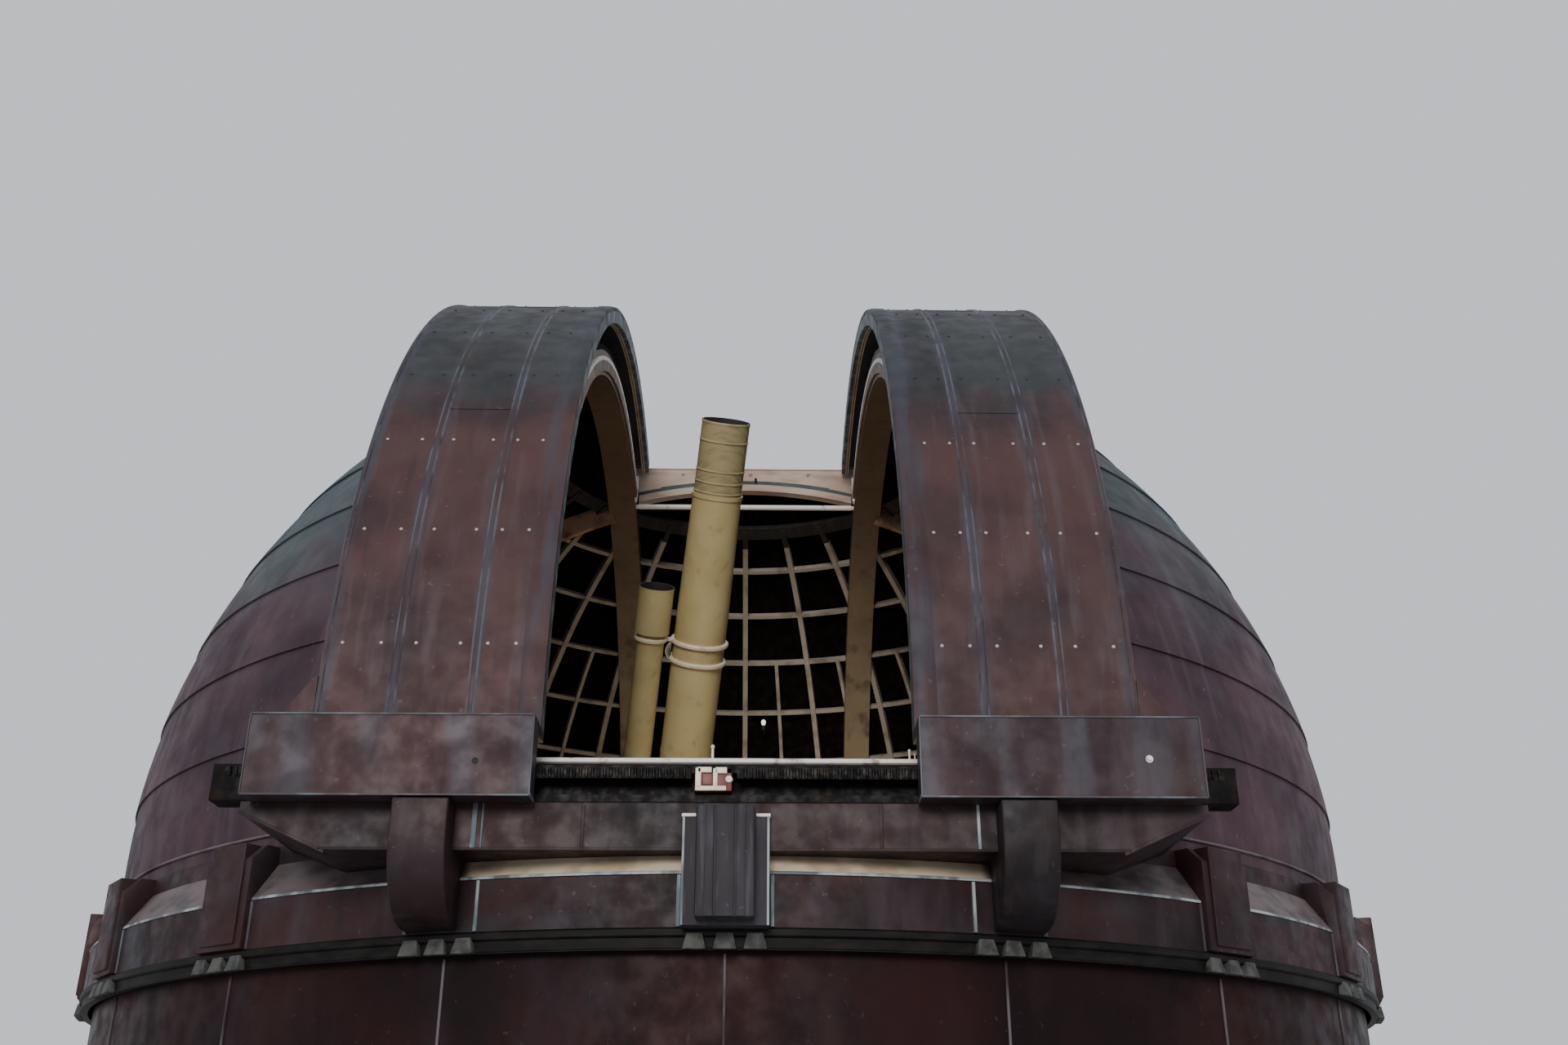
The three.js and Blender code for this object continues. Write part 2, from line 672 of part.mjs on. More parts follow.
  // The cradle holds the tube on the end of the declination axis
  const cradleTip = TUBE_OFFSET - CRADLE_REACH;
  const cradle = new THREE.BoxGeometry(cradleTip - DEC_HOUSING_NEAR, CRADLE_LENGTH, CRADLE_WIDTH);
  cradle.translate(-(cradleTip + DEC_HOUSING_NEAR) / 2 - AXLE_GAP, 0, 0);
  cradle.applyQuaternion(tilt);
  cradle.translate(0, 0, MOUNT_HEIGHT);
  const tubeSpace = turnedAlong(
    [
      [0, -CRADLE_LENGTH],
      [TUBE_RADIUS + GAP, -CRADLE_LENGTH],
      [TUBE_RADIUS + GAP, CRADLE_LENGTH],
      [0, CRADLE_LENGTH],
    ],
    false,
    tubeCentre,
    tubeDirection,
    TUBE_SIDES,
  );
  piece(mountGroup, "tube_cradle", castIron, largest(cut(solid(cradle), tubeSpace)));
  const weight = turnedAlong(
    [
      [0, DEC_HOUSING_FAR + AXLE_GAP],
      [WEIGHT_SHAFT_RADIUS, DEC_HOUSING_FAR + AXLE_GAP],
      [WEIGHT_SHAFT_RADIUS, WEIGHT_NEAR],
      [WEIGHT_RADIUS, WEIGHT_NEAR],
      [WEIGHT_RADIUS, WEIGHT_FAR],
      [WEIGHT_SHAFT_RADIUS, WEIGHT_FAR],
      [WEIGHT_SHAFT_RADIUS, WEIGHT_SHAFT_END],
      [0, WEIGHT_SHAFT_END],
    ],
    false,
    mountCentre,
    across,
    SMALL_SIDES,
  );
  piece(mountGroup, "counterweight", castIron, weight);
}

// The belt round the foot of the dome, with a pilaster in each bay

const beltOuter = [
  [BELT_FACE_RADIUS, BELT_BOTTOM],
  [BELT_FACE_RADIUS, BELT_FACE_TOP],
  [BELT_TOP_RADIUS, BELT_SHOULDER],
  [BELT_TOP_RADIUS, SHELL_BOTTOM - GAP],
];
const beltInner = [
  [BELT_TOP_RADIUS - SHELL_THICKNESS, SHELL_BOTTOM - GAP],
  [BELT_TOP_RADIUS - SHELL_THICKNESS, BELT_INNER_SHOULDER],
  [BELT_INNER_RADIUS, BELT_INNER_FACE_TOP],
  [BELT_INNER_RADIUS, BELT_BOTTOM],
];

// The whole outside of shell and belt, a touch larger, to fit other pieces against
function outsideOfDome() {
  const grown = beltOuter.map(([r, z]) => [r + GAP, z]);
  const belt = turned([[0, BELT_BOTTOM], ...grown, [0, SHELL_BOTTOM - GAP]], false);
  return join(sphereBody(DOME_RADIUS + GAP, SHELL_BOTTOM - 1), belt);
}

function pilaster(azimuth) {
  const [slopeDepth, slopeHeight] = PILASTER_PLATE_SLOPE;
  const plate = alongX(
    [
      [PILASTER_REACH, PILASTER_PLATE_BOTTOM],
      [PILASTER_REACH, PILASTER_PLATE_TOP],
      [-PILASTER_PLATE_RADIUS + slopeDepth, PILASTER_PLATE_TOP],
      [-PILASTER_PLATE_RADIUS, PILASTER_PLATE_TOP - slopeHeight],
      [-PILASTER_PLATE_RADIUS, PILASTER_PLATE_BOTTOM],
    ],
    -PILASTER_PLATE_WIDTH / 2,
    PILASTER_PLATE_WIDTH / 2,
  );
  const half = PILASTER_WIDTH / 2;
  const block = box(-half, -PILASTER_RADIUS, PILASTER_BOTTOM, half, PILASTER_REACH, PILASTER_TOP);
  return join(plate, block).rotate([0, 0, azimuth]);
}

function buildBelt(dome) {
  const ring = turned([...beltOuter, ...beltInner], true);
  const cover = 10; // thickness of belt left outside the space that is cut from the pilasters
  const innerSpace = turned(
    [
      [0, BELT_BOTTOM - 1],
      [BELT_FACE_RADIUS - cover, BELT_BOTTOM - 1],
      [BELT_FACE_RADIUS - cover, BELT_FACE_TOP - cover],
      [BELT_TOP_RADIUS - cover, BELT_SHOULDER - cover],
      [BELT_TOP_RADIUS - cover, SHELL_BOTTOM + 1],
      [0, SHELL_BOTTOM + 1],
    ],
    false,
  );
  const perNode = BAYS / SEGMENTS;
  for (let i = 0; i < SEGMENTS; i++) {
    const first = i * perNode + SEGMENT_START;
    const from = first * BAY + SEGMENT_SEAM;
    const to = (first + perNode) * BAY - SEGMENT_SEAM;
    let part = ring.intersect(wedge(from, to, 2 * BELT_BOTTOM, 0));
    for (let k = 0; k < perNode; k++) {
      const bay = Math.round(first + 0.5) + k;
      const underBeam = bay === 0 || bay === 1 || bay === -1;
      if (!underBeam) part = join(part, cut(pilaster(bay * BAY), innerSpace));
    }
    piece(dome, `belt_${i + 1}`, copper, part);
  }
}

// The shell, in the sheets between the slit's planes

function buildShell(dome) {
  const shell = sphereShell(DOME_RADIUS, shellInner, SHELL_BOTTOM);
  const far = 2 * DOME_RADIUS;
  const edge = SLIT_HALF + GAP / 2;
  const left = shell.intersect(box(-far, -far, -far, -edge, far, far));
  piece(dome, "shell_left", copper, left);
  piece(dome, "shell_right", copper, mirrored(left));
  const inside = SLIT_HALF - GAP / 2;
  const rear = shell.intersect(box(-inside, SLIT_REAR, -far, inside, far, far));
  piece(dome, "shell_rear", copper, rear);
  const front = shell.intersect(box(-inside, -far, -far, inside, 0, SILL_HEIGHT - GAP));
  piece(dome, "sill_wall", copper, front);
  const ring = turned(
    [
      [BASE_RING_INNER, BASE_RING_BOTTOM],
      [BELT_TOP_RADIUS - SHELL_THICKNESS - GAP, BASE_RING_BOTTOM],
      [BELT_TOP_RADIUS - SHELL_THICKNESS - GAP, SHELL_BOTTOM - GAP],
      [BASE_RING_INNER, SHELL_BOTTOM - GAP],
    ],
    true,
  );
  piece(dome, "base_ring", railSteel, ring);
}

// The two arched girders, each with the coaming plate that edges the slit

function buildGirders(dome) {
  const inner = SLIT_HALF - GAP;
  const outer = SLIT_HALF + GIRDER_WIDTH;
  const outline = [
    [-DOME_RADIUS, SHELL_BOTTOM],
    ...arc(DOME_RADIUS, 0, 180, ARCH_FACETS),
    [DOME_RADIUS, SHELL_BOTTOM],
    [GIRDER_INNER_RADIUS, SHELL_BOTTOM],
    ...arc(GIRDER_INNER_RADIUS, 180, 0, ARCH_FACETS),
    [-GIRDER_INNER_RADIUS, SHELL_BOTTOM],
  ];
  const arch = alongX(outline, inner, outer).intersect(sphereBody(shellInner - GAP, SHELL_BOTTOM));
  const coaming = archBand(
    COAMING_INNER_RADIUS,
    COAMING_RADIUS,
    SHUTTER_FRONT_ANGLE,
    SHUTTER_REAR_ANGLE,
    inner - COAMING_THICKNESS,
    inner + COAMING_BITE,
  );
  const far = 2 * DOME_RADIUS;
  const coamingSpace = box(0, -far, 0, far, SLIT_REAR - COAMING_SETBACK, far);
  const girder = join(arch, coaming.intersect(coamingSpace));
  piece(dome, "right_girder", girderPaint, girder);
  piece(dome, "left_girder", girderPaint, mirrored(girder));
}

// The open steel lattice that carries the shell: ribs like meridians, purlins like parallels

function rib(azimuth) {
  const latitudes = [RIB_FOOT];
  for (let latitude = FIRST_SEAM; latitude < RING_BEAM_LATITUDE; latitude += COURSE) {
    latitudes.push(latitude);
  }
  latitudes.push(RING_BEAM_LATITUDE);
  const outer = shellInner - RIB_CLEARANCE;
  const head = PURLIN_OUTER - RIB_HEAD_SINK;
  const at = (radius, latitude) => arc(radius, latitude, latitude, 1)[0];
  const outline = [
    ...latitudes.map((latitude) => at(latitude === RING_BEAM_LATITUDE ? head : outer, latitude)),
    ...latitudes.reverse().map((latitude) => at(outer - RIB_DEPTH, latitude)),
  ];
  return alongX(outline, -RIB_WIDTH / 2, RIB_WIDTH / 2).rotate([0, 0, azimuth]);
}

function purlin(latitude, height) {
  const low = radians(latitude) - height / 2 / PURLIN_OUTER;
  const high = radians(latitude) + height / 2 / PURLIN_OUTER;
  return turned(
    [
      [PURLIN_INNER * Math.cos(low), PURLIN_INNER * Math.sin(low)],
      [PURLIN_OUTER * Math.cos(low), PURLIN_OUTER * Math.sin(low)],
      [PURLIN_OUTER * Math.cos(high), PURLIN_OUTER * Math.sin(high)],
      [PURLIN_INNER * Math.cos(high), PURLIN_INNER * Math.sin(high)],
    ],
    true,
  );
}

function buildLattice(dome) {
  const far = 2 * DOME_RADIUS;
  const purlins = PURLIN_LATITUDES.map((latitude) => purlin(latitude, PURLIN_HEIGHT));
  purlins.push(purlin(RING_BEAM_LATITUDE, RING_BEAM_HEIGHT));
  const rings = join(...purlins);
  const side = SLIT_HALF + GIRDER_WIDTH + GAP;
  const floor = box(-far, -far, -far, far, far, SHELL_BOTTOM);
  const leftSpace = box(-far, -far, SHELL_BOTTOM, -side, far, far);
  let left = null;
  for (let azimuth = RIB_STEP; azimuth < 180; azimuth += RIB_STEP) {
    const bar = rib(-azimuth).intersect(leftSpace);
    if (bar.isEmpty()) continue;
    left = left ? join(left, bar) : bar;
  }
  left = largest(cut(join(left, rings.intersect(leftSpace)), floor));
  piece(dome, "left_lattice", latticePaint, left);
  piece(dome, "right_lattice", latticePaint, mirrored(left));
  const inside = SLIT_HALF - 2 * GAP;
  const rearSpace = box(-inside, 0, SHELL_BOTTOM, inside, far, far);
  let rear = rings.intersect(rearSpace);
  rear = join(rear, rib(180).intersect(rearSpace));
  piece(dome, "rear_lattice", latticePaint, largest(cut(rear, floor)));
}

// What closes the slit behind: an arched rib, a fascia, the rear rail and a tie rod

function buildRearHeader(dome, outside) {
  const inside = SLIT_HALF - COAMING_THICKNESS - 2 * GAP;
  const far = 2 * DOME_RADIUS;
  const band = cut(sphereBody(shellInner - GAP, 0), sphereBody(REAR_RIB_RADIUS, SHELL_BOTTOM));
  const archRib = band.intersect(box(-inside, SLIT_REAR, 0, inside, SLIT_REAR + REAR_RIB_THICKNESS, far));
  piece(dome, "rear_arch_rib", fasciaPaint, largest(archRib));
  const tip = REAR_RAIL_HALF;
  const foot = REAR_RAIL_FOOT;
  const tipLow = REAR_RAIL_TOP - REAR_RAIL_DEPTH;
  const underside = [[-tip, tipLow], [-foot, REAR_RAIL_LOW], [foot, REAR_RAIL_LOW], [tip, tipLow]];
  const fasciaOutline = [[-tip, FASCIA_TOP], ...underside, [tip, FASCIA_TOP]];
  const fascia = alongY(fasciaOutline, SLIT_REAR, SLIT_REAR + FASCIA_THICKNESS);
  piece(dome, "rear_fascia", fasciaPaint, largest(cut(fascia, outside)));
  const railOutline = [[-tip, REAR_RAIL_TOP], ...underside, [tip, REAR_RAIL_TOP]];
  const rail = alongY(railOutline, REAR_RAIL_FRONT, REAR_RAIL_BACK);
  piece(dome, "rear_rail", railSteel, largest(cut(rail, outside)));
  const rodHalf = inside + COAMING_THICKNESS;
  const rodCentre = new THREE.Vector3(0, SLIT_REAR - TIE_ROD_SETBACK, TIE_ROD_HEIGHT);
  const rodOutline = [[0, -rodHalf], [TIE_ROD_RADIUS, -rodHalf], [TIE_ROD_RADIUS, rodHalf], [0, rodHalf]];
  const rod = turnedAlong(rodOutline, false, rodCentre, new THREE.Vector3(1, 0, 0), TIE_ROD_SIDES);
  piece(dome, "tie_rod", whitePaint, rod);
}

// The front rail on its beam, the corbels and pilaster that carry it, and the sill of the slit

function buildFront(dome, outside) {
  const pocket = box(
    GEARBOX_LEFT - GAP,
    RAIL_FRONT - 1,
    GEARBOX_BOTTOM - GAP,
    GEARBOX_RIGHT + GAP,
    GEARBOX_BACK + GAP,
    RAIL_TOP + 1,
  );
  const rail = box(-RAIL_HALF, RAIL_FRONT, RAIL_BOTTOM, RAIL_HALF, RAIL_BACK, RAIL_TOP);
  piece(dome, "front_rail", railSteel, cut(rail, pocket));
  const gear = box(GEARBOX_LEFT, GEARBOX_FRONT, GEARBOX_BOTTOM, GEARBOX_RIGHT, GEARBOX_BACK, GEARBOX_TOP);
  piece(dome, "shutter_gearbox", redPaint, gear);

  const beam = alongY(
    [
      [-BEAM_TIP, BEAM_TOP],
      [-BEAM_TIP, BEAM_TOP - BEAM_TIP_HEIGHT],
      [-BEAM_FOOT, BEAM_BOTTOM],
      [BEAM_FOOT, BEAM_BOTTOM],
      [BEAM_TIP, BEAM_TOP - BEAM_TIP_HEIGHT],
      [BEAM_TIP, BEAM_TOP],
    ],
    BEAM_FRONT,
    BEAM_BACK,
  );
  const frontBeam = largest(cut(beam, outside));
  piece(dome, "front_beam", copper, frontBeam);

  const corbelLeft = CORBEL_CENTRE - CORBEL_WIDTH / 2;
  const curve = [];
  const lowFace = -Math.sqrt(BELT_FACE_RADIUS ** 2 - corbelLeft ** 2) - CORBEL_HEEL;
  for (let i = 0; i <= CORBEL_STEPS; i++) {
    const angle = (Math.PI / 2) * (i / CORBEL_STEPS);
    const y = CORBEL_FRONT + (lowFace - CORBEL_FRONT) * (1 - Math.cos(angle));
    const z = CORBEL_BOTTOM + CORBEL_RADIUS * (1 - Math.sin(angle));
    curve.push([y, z]);
  }
  const corbelHead = [[FRONT_REACH, CORBEL_TOP], [CORBEL_FRONT, CORBEL_TOP]];
  const corbelOutline = [...corbelHead, ...curve, [FRONT_REACH, CORBEL_BOTTOM]];
  const beamSpace = alongY(
    [[-RAIL_HALF, 0], [-RAIL_HALF, BEAM_BOTTOM - GAP], [RAIL_HALF, BEAM_BOTTOM - GAP], [RAIL_HALF, 0]],
    BEAM_FRONT - GAP,
    0,
  );
  const corbelBlock = alongX(corbelOutline, corbelLeft, corbelLeft + CORBEL_WIDTH);
  const corbel = largest(cut(corbelBlock, outside, beamSpace));
  piece(dome, "right_corbel", copper, corbel);
  piece(dome, "left_corbel", copper, mirrored(corbel));

  const half = CENTRE_PILASTER_WIDTH / 2;
  const plateHalf = CENTRE_PLATE_WIDTH / 2;
  const [bevelWidth, bevelDepth] = CENTRE_PILASTER_BEVEL;
  const block = upwards(
    [
      [-half, FRONT_REACH],
      [-half, CENTRE_PILASTER_FRONT + bevelDepth],
      [-half + bevelWidth, CENTRE_PILASTER_FRONT],
      [half - bevelWidth, CENTRE_PILASTER_FRONT],
      [half, CENTRE_PILASTER_FRONT + bevelDepth],
      [half, FRONT_REACH],
    ],
    CENTRE_PILASTER_BOTTOM,
    CENTRE_PILASTER_TOP,
  );
  const plateBottom = PILASTER_PLATE_BOTTOM + GAP;
  const plate = box(-plateHalf, CENTRE_PLATE_FRONT, plateBottom, plateHalf, FRONT_REACH, CENTRE_PLATE_TOP);
  const centre = largest(cut(join(block, plate), outside, beamSpace));
  piece(dome, "centre_pilaster", copper, centre);

  const sillHalf = SLIT_HALF - COAMING_THICKNESS - 2 * GAP;
  const sill = box(-sillHalf, SILL_FRONT, SILL_HEIGHT, sillHalf, SILL_BACK, SILL_HEIGHT + SILL_THICKNESS);
  piece(dome, "slit_sill", whitePaint, sill);
}

// One shutter, drawn on the right; the left one is its mirror image

function shutterPieces() {
  const rear = SHUTTER_REAR_ANGLE;
  const skinInner = SHUTTER_RADIUS - SHUTTER_SKIN;
  const start = SHUTTER_FRONT_ANGLE;
  const skin = archBand(skinInner, SHUTTER_RADIUS, start, rear, SHUTTER_INNER_EDGE, SHUTTER_OUTER_EDGE);
  const innerFrame = join(
    archBand(
      INNER_FRAME_RADIUS,
      skinInner - GAP,
      start,
      rear,
      SHUTTER_INNER_EDGE,
      SHUTTER_INNER_EDGE + FRAME_PLATE,
    ),
    archBand(
      INNER_FRAME_RADIUS,
      INNER_FRAME_RADIUS + FRAME_FLANGE_THICKNESS,
      start,
      rear,
      SHUTTER_INNER_EDGE,
      SHUTTER_INNER_EDGE + FRAME_FLANGE,
    ),
  );
  const outerFrame = archBand(
    OUTER_FRAME_RADIUS,
    skinInner - GAP,
    start,
    rear,
    SHUTTER_OUTER_EDGE - FRAME_PLATE,
    SHUTTER_OUTER_EDGE,
  );
  const far = 2 * DOME_RADIUS;
  const below = box(0, -far, -far, far, 0, APRON_TOP + GAP);

  const x0 = SHUTTER_INNER_EDGE;
  const x1 = APRON_OUTER_END;
  const shellBox = box(x0, APRON_FRONT, APRON_BOTTOM, x1, APRON_BACK, APRON_TOP);
  const hollow = box(
    x0 + APRON_SHEET,
    APRON_FRONT + APRON_SHEET,
    APRON_BOTTOM + APRON_SHEET,
    x1 - APRON_SHEET,
    APRON_BACK + APRON_LAP,
    APRON_TOP - APRON_LEDGE,
  );
  const ledge = box(x0, APRON_BACK - APRON_LAP, APRON_TOP - APRON_LEDGE, x1, APRON_LEDGE_BACK, APRON_TOP);
  const wheelRadius = (APRON_TOP - APRON_LEDGE - RAIL_TOP) / 2 + WHEEL_BITE;
  const wheelsAt = (ends, radius, line, railTop) =>
    ends.map((x) => {
      const wheel = new THREE.CylinderGeometry(radius, radius, WHEEL_WIDTH, WHEEL_SIDES);
      wheel.translate(x, line, 0);
      return solid(wheel).translate([0, 0, railTop + GAP + radius]);
    });
  const wheels = wheelsAt([x0 + WHEEL_INSET, x1 - WHEEL_INSET], wheelRadius, WHEEL_LINE, RAIL_TOP);
  const apron = join(cut(shellBox, hollow), ledge, ...wheels);

  const archSpace = archBand(
    OUTER_FRAME_RADIUS - CARRIAGE_CUT_INSIDE,
    SHUTTER_RADIUS + CARRIAGE_CUT_OUTSIDE,
    CARRIAGE_CUT_START,
    rear + CARRIAGE_CUT_MARGIN,
    0,
    far,
    CARRIAGE_CUT_FACETS,
  );
  const plateLeft = x0 + CARRIAGE_INSET;
  const plateRight = SHUTTER_OUTER_EDGE;
  const plateLow = CARRIAGE_TOP - CARRIAGE_PLATE;
  const top = box(plateLeft, CARRIAGE_FRONT, plateLow, plateRight, CARRIAGE_BACK, CARRIAGE_TOP);
  const backFront = CARRIAGE_BACK - CARRIAGE_BACK_PLATE;
  const backLow = REAR_RAIL_TOP - CARRIAGE_DROP;
  const backPlate = box(plateLeft, backFront, backLow, plateRight, CARRIAGE_BACK, CARRIAGE_TOP);
  const smallRadius = (plateLow - REAR_RAIL_TOP) / 2 + WHEEL_BITE;
  const rearLine = (REAR_RAIL_FRONT + REAR_RAIL_BACK) / 2;
  const rearEnds = [x0 + WHEEL_INSET, plateRight - WHEEL_INSET];
  const rollers = wheelsAt(rearEnds, smallRadius, rearLine, REAR_RAIL_TOP);
  const carriage = cut(join(top, backPlate, ...rollers), archSpace);
  return {
    skin: cut(skin, below),
    inner_frame: cut(innerFrame, below),
    outer_frame: cut(outerFrame, below),
    apron,
    rear_carriage: largest(carriage),
  };
}

function buildShutters() {
  const shapes = shutterPieces();
  for (const [side, flip] of [["right", false], ["left", true]]) {
    const shutter = new THREE.Group();
    building.add(shutter);
    for (const [name, shape] of Object.entries(shapes)) {
      const material = name === "rear_carriage" || name.endsWith("frame") ? greenCopper : copper;
      piece(shutter, `${side}_shutter_${name}`, material, flip ? mirrored(shape) : shape);
    }
  }
}

buildDrum();
buildTrack();
buildPier();
buildTelescope();
const dome = new THREE.Group();
building.add(dome);
const outside = outsideOfDome();
buildBelt(dome);
buildShell(dome);
buildGirders(dome);
buildLattice(dome);
buildRearHeader(dome, outside);
buildFront(dome, outside);
buildShutters();

const observatory = new THREE.Group();
observatory.add(building);

export default observatory;
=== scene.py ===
"""The looks of a rotating observatory dome: copper shell, two shutters, drum and telescope."""
import math

import bpy
from mathutils import Matrix, Vector


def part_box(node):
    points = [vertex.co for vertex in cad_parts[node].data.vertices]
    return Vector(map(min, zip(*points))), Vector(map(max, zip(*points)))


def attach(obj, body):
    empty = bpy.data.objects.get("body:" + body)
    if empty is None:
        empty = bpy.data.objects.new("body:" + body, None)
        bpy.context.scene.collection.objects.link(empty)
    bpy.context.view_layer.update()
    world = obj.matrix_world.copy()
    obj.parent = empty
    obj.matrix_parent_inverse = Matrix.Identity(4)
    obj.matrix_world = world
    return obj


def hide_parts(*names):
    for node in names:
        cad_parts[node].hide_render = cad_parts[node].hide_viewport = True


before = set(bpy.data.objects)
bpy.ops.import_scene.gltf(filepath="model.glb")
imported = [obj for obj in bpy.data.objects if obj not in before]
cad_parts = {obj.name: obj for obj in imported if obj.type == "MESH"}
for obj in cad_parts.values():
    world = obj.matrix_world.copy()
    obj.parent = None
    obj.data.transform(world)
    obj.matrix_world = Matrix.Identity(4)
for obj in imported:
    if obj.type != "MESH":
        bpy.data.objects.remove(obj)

bpy.ops.object.select_all(action="DESELECT")
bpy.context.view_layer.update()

# Camera, light and ground
# The eye stands at head height below the slit and looks up at the dome.
# Plain daylight from a pale surround, one soft sun in front, and a warm lamp panel under the open dome.
centre_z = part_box("shell_left")[0][2] + 0.4  # the centre of the dome's sphere
bpy.ops.object.camera_add(
    location=(0.167, -12.183, centre_z - 2.170),
    rotation=(math.radians(90 + 24.306), 0, math.radians(-0.946)),
)
camera = bpy.context.object
camera.data.sensor_width = 36
camera.data.lens = 34.108
camera.data.clip_end = 500
bpy.context.scene.camera = camera

surround = bpy.data.worlds.new("pale_surround")
surround.use_nodes = True
surround.node_tree.nodes["Background"].inputs["Color"].default_value = (0.80, 0.83, 0.90, 1)
surround.node_tree.nodes["Background"].inputs["Strength"].default_value = 0.95
bpy.context.scene.world = surround
bpy.ops.object.light_add(type="SUN", rotation=(math.radians(75), 0, math.radians(-6)))
bpy.context.object.data.energy = 2.2
bpy.context.object.data.angle = math.radians(20)
bpy.context.object.data.color = (1.0, 0.96, 0.93)
bpy.ops.object.light_add(type="AREA", location=(0, 0.4, 2.4), rotation=(math.radians(180), 0, 0))
bpy.context.object.data.size = 3.2
bpy.context.object.data.energy = 80
bpy.context.object.data.color = (1.0, 0.86, 0.66)
bpy.context.object.visible_camera = False


def new_finish(name, colour, roughness, metallic=0.0, gloss=0.5):
    finish = bpy.data.materials.new(name)
    finish.use_nodes = True
    shader = finish.node_tree.nodes["Principled BSDF"]
    shader.inputs["Specular IOR Level"].default_value = gloss
    shader.inputs["Base Color"].default_value = (*colour, 1)
    shader.inputs["Roughness"].default_value = roughness
    shader.inputs["Metallic"].default_value = metallic
    return finish


def add_node(finish, kind, **choices):
    node = finish.node_tree.nodes.new(kind)
    for choice, value in choices.items():
        setattr(node, choice, value)
    return node


def feed(finish, source, target):
    finish.node_tree.links.new(source, target)
    return target


def grain(finish, scale, stretch=(1, 1, 1), detail=4.0):
    """Noise in the object's own coordinates, squeezed along X, Y and Z."""
    place = add_node(finish, "ShaderNodeTexCoord")
    squeeze = add_node(finish, "ShaderNodeMapping")
    squeeze.inputs["Scale"].default_value = stretch
    noise = add_node(finish, "ShaderNodeTexNoise")
    noise.inputs["Scale"].default_value = scale
    noise.inputs["Detail"].default_value = detail
    feed(finish, place.outputs["Object"], squeeze.inputs["Vector"])
    feed(finish, squeeze.outputs["Vector"], noise.inputs["Vector"])
    return noise.outputs["Fac"]


def between(finish, factor, low, high, to_low=0.0, to_high=1.0):
    """A smooth step from one value to another, while the factor goes from low to high."""
    step = add_node(finish, "ShaderNodeMapRange", interpolation_type="SMOOTHSTEP")
    feed(finish, factor, step.inputs["Value"])
    step.inputs["From Min"].default_value = low
    step.inputs["From Max"].default_value = high
    step.inputs["To Min"].default_value = to_low
    step.inputs["To Max"].default_value = to_high
    return step.outputs["Result"]


def tint(finish, factor, under, over):
    """One colour laid over another where the factor is high."""
    mix = add_node(finish, "ShaderNodeMix", data_type="RGBA")
    feed(finish, factor, mix.inputs["Factor"])
    for colour, socket in ((under, mix.inputs["A"]), (over, mix.inputs["B"])):
        if isinstance(colour, tuple):
            socket.default_value = (*colour, 1)
        else:
            feed(finish, colour, socket)
    return mix.outputs["Result"]


def relief(finish, height, strength, distance):
    bump = add_node(finish, "ShaderNodeBump")
    bump.inputs["Strength"].default_value = strength
    bump.inputs["Distance"].default_value = distance
    feed(finish, height, bump.inputs["Height"])
    feed(finish, bump.outputs["Normal"], finish.node_tree.nodes["Principled BSDF"].inputs["Normal"])


def paint(finish, colour, roughness=None):
    shader = finish.node_tree.nodes["Principled BSDF"]
    feed(finish, colour, shader.inputs["Base Color"])
    if roughness is not None:
        feed(finish, roughness, shader.inputs["Roughness"])


bpy.ops.mesh.primitive_plane_add(size=160)
ground = bpy.context.object
ground.name = "pale_ground"
ground_finish = new_finish("ground_finish", (0.62, 0.61, 0.59), 0.9)
paint(ground_finish, tint(ground_finish, grain(ground_finish, 0.6), (0.60, 0.59, 0.57), (0.66, 0.65, 0.63)))
ground.data.materials.append(ground_finish)


# The drum's wall and floor
# A round masonry wall, plastered inside, stands on the ground round a screeded concrete floor.
# Both are turned from their cross-sections about the building's axis.
def draw_profile(name, points, closed=True):
    """Draws a cross-section edge after edge, and leaves it in edit mode, all selected."""
    bpy.ops.object.select_all(action="DESELECT")
    bpy.ops.mesh.primitive_plane_add(size=0.01, location=points[0])
    piece = bpy.context.object
    piece.name = piece.data.name = name
    bpy.ops.object.transform_apply(location=True, rotation=True, scale=True)
    bpy.ops.object.mode_set(mode="EDIT")
    bpy.ops.mesh.merge(type="CENTER")
    here = Vector(points[0])
    for point in list(points[1:]) + ([points[0]] if closed else []):
        bpy.ops.mesh.extrude_region_move(TRANSFORM_OT_translate={"value": Vector(point) - here})
        here = Vector(point)
    bpy.ops.mesh.select_all(action="SELECT")
    bpy.ops.mesh.remove_doubles(threshold=0.0002)
    return piece


def spin_profile(degrees=360.0, steps=160, axis=(0, 0, 1), centre=(0, 0, 0)):
    """Turns the open cross-section into a closed body, with its ends filled and faces outwards."""
    bpy.ops.mesh.select_all(action="SELECT")
    bpy.ops.mesh.spin(steps=steps, angle=math.radians(degrees), center=centre, axis=axis)
    bpy.ops.mesh.select_all(action="SELECT")
    bpy.ops.mesh.remove_doubles(threshold=0.0002)
    if abs(degrees) < 359.9:
        bpy.ops.mesh.fill_holes(sides=0)
    bpy.ops.mesh.normals_make_consistent(inside=False)
    bpy.ops.object.mode_set(mode="OBJECT")


def fit(piece, finish, slot, body, *nodes, crease=32.0):
    """Gives a finished piece its finish, its body and the solids that it stands for."""
    if bpy.context.object.mode == "EDIT":
        bpy.ops.object.mode_set(mode="OBJECT")
    bpy.ops.object.select_all(action="DESELECT")
    piece.select_set(True)
    bpy.context.view_layer.objects.active = piece
    bpy.ops.object.shade_smooth_by_angle(angle=math.radians(crease))
    if not piece.data.materials:
        piece.data.materials.append(finish)
    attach(piece, body)
    if nodes:
        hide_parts(*nodes)


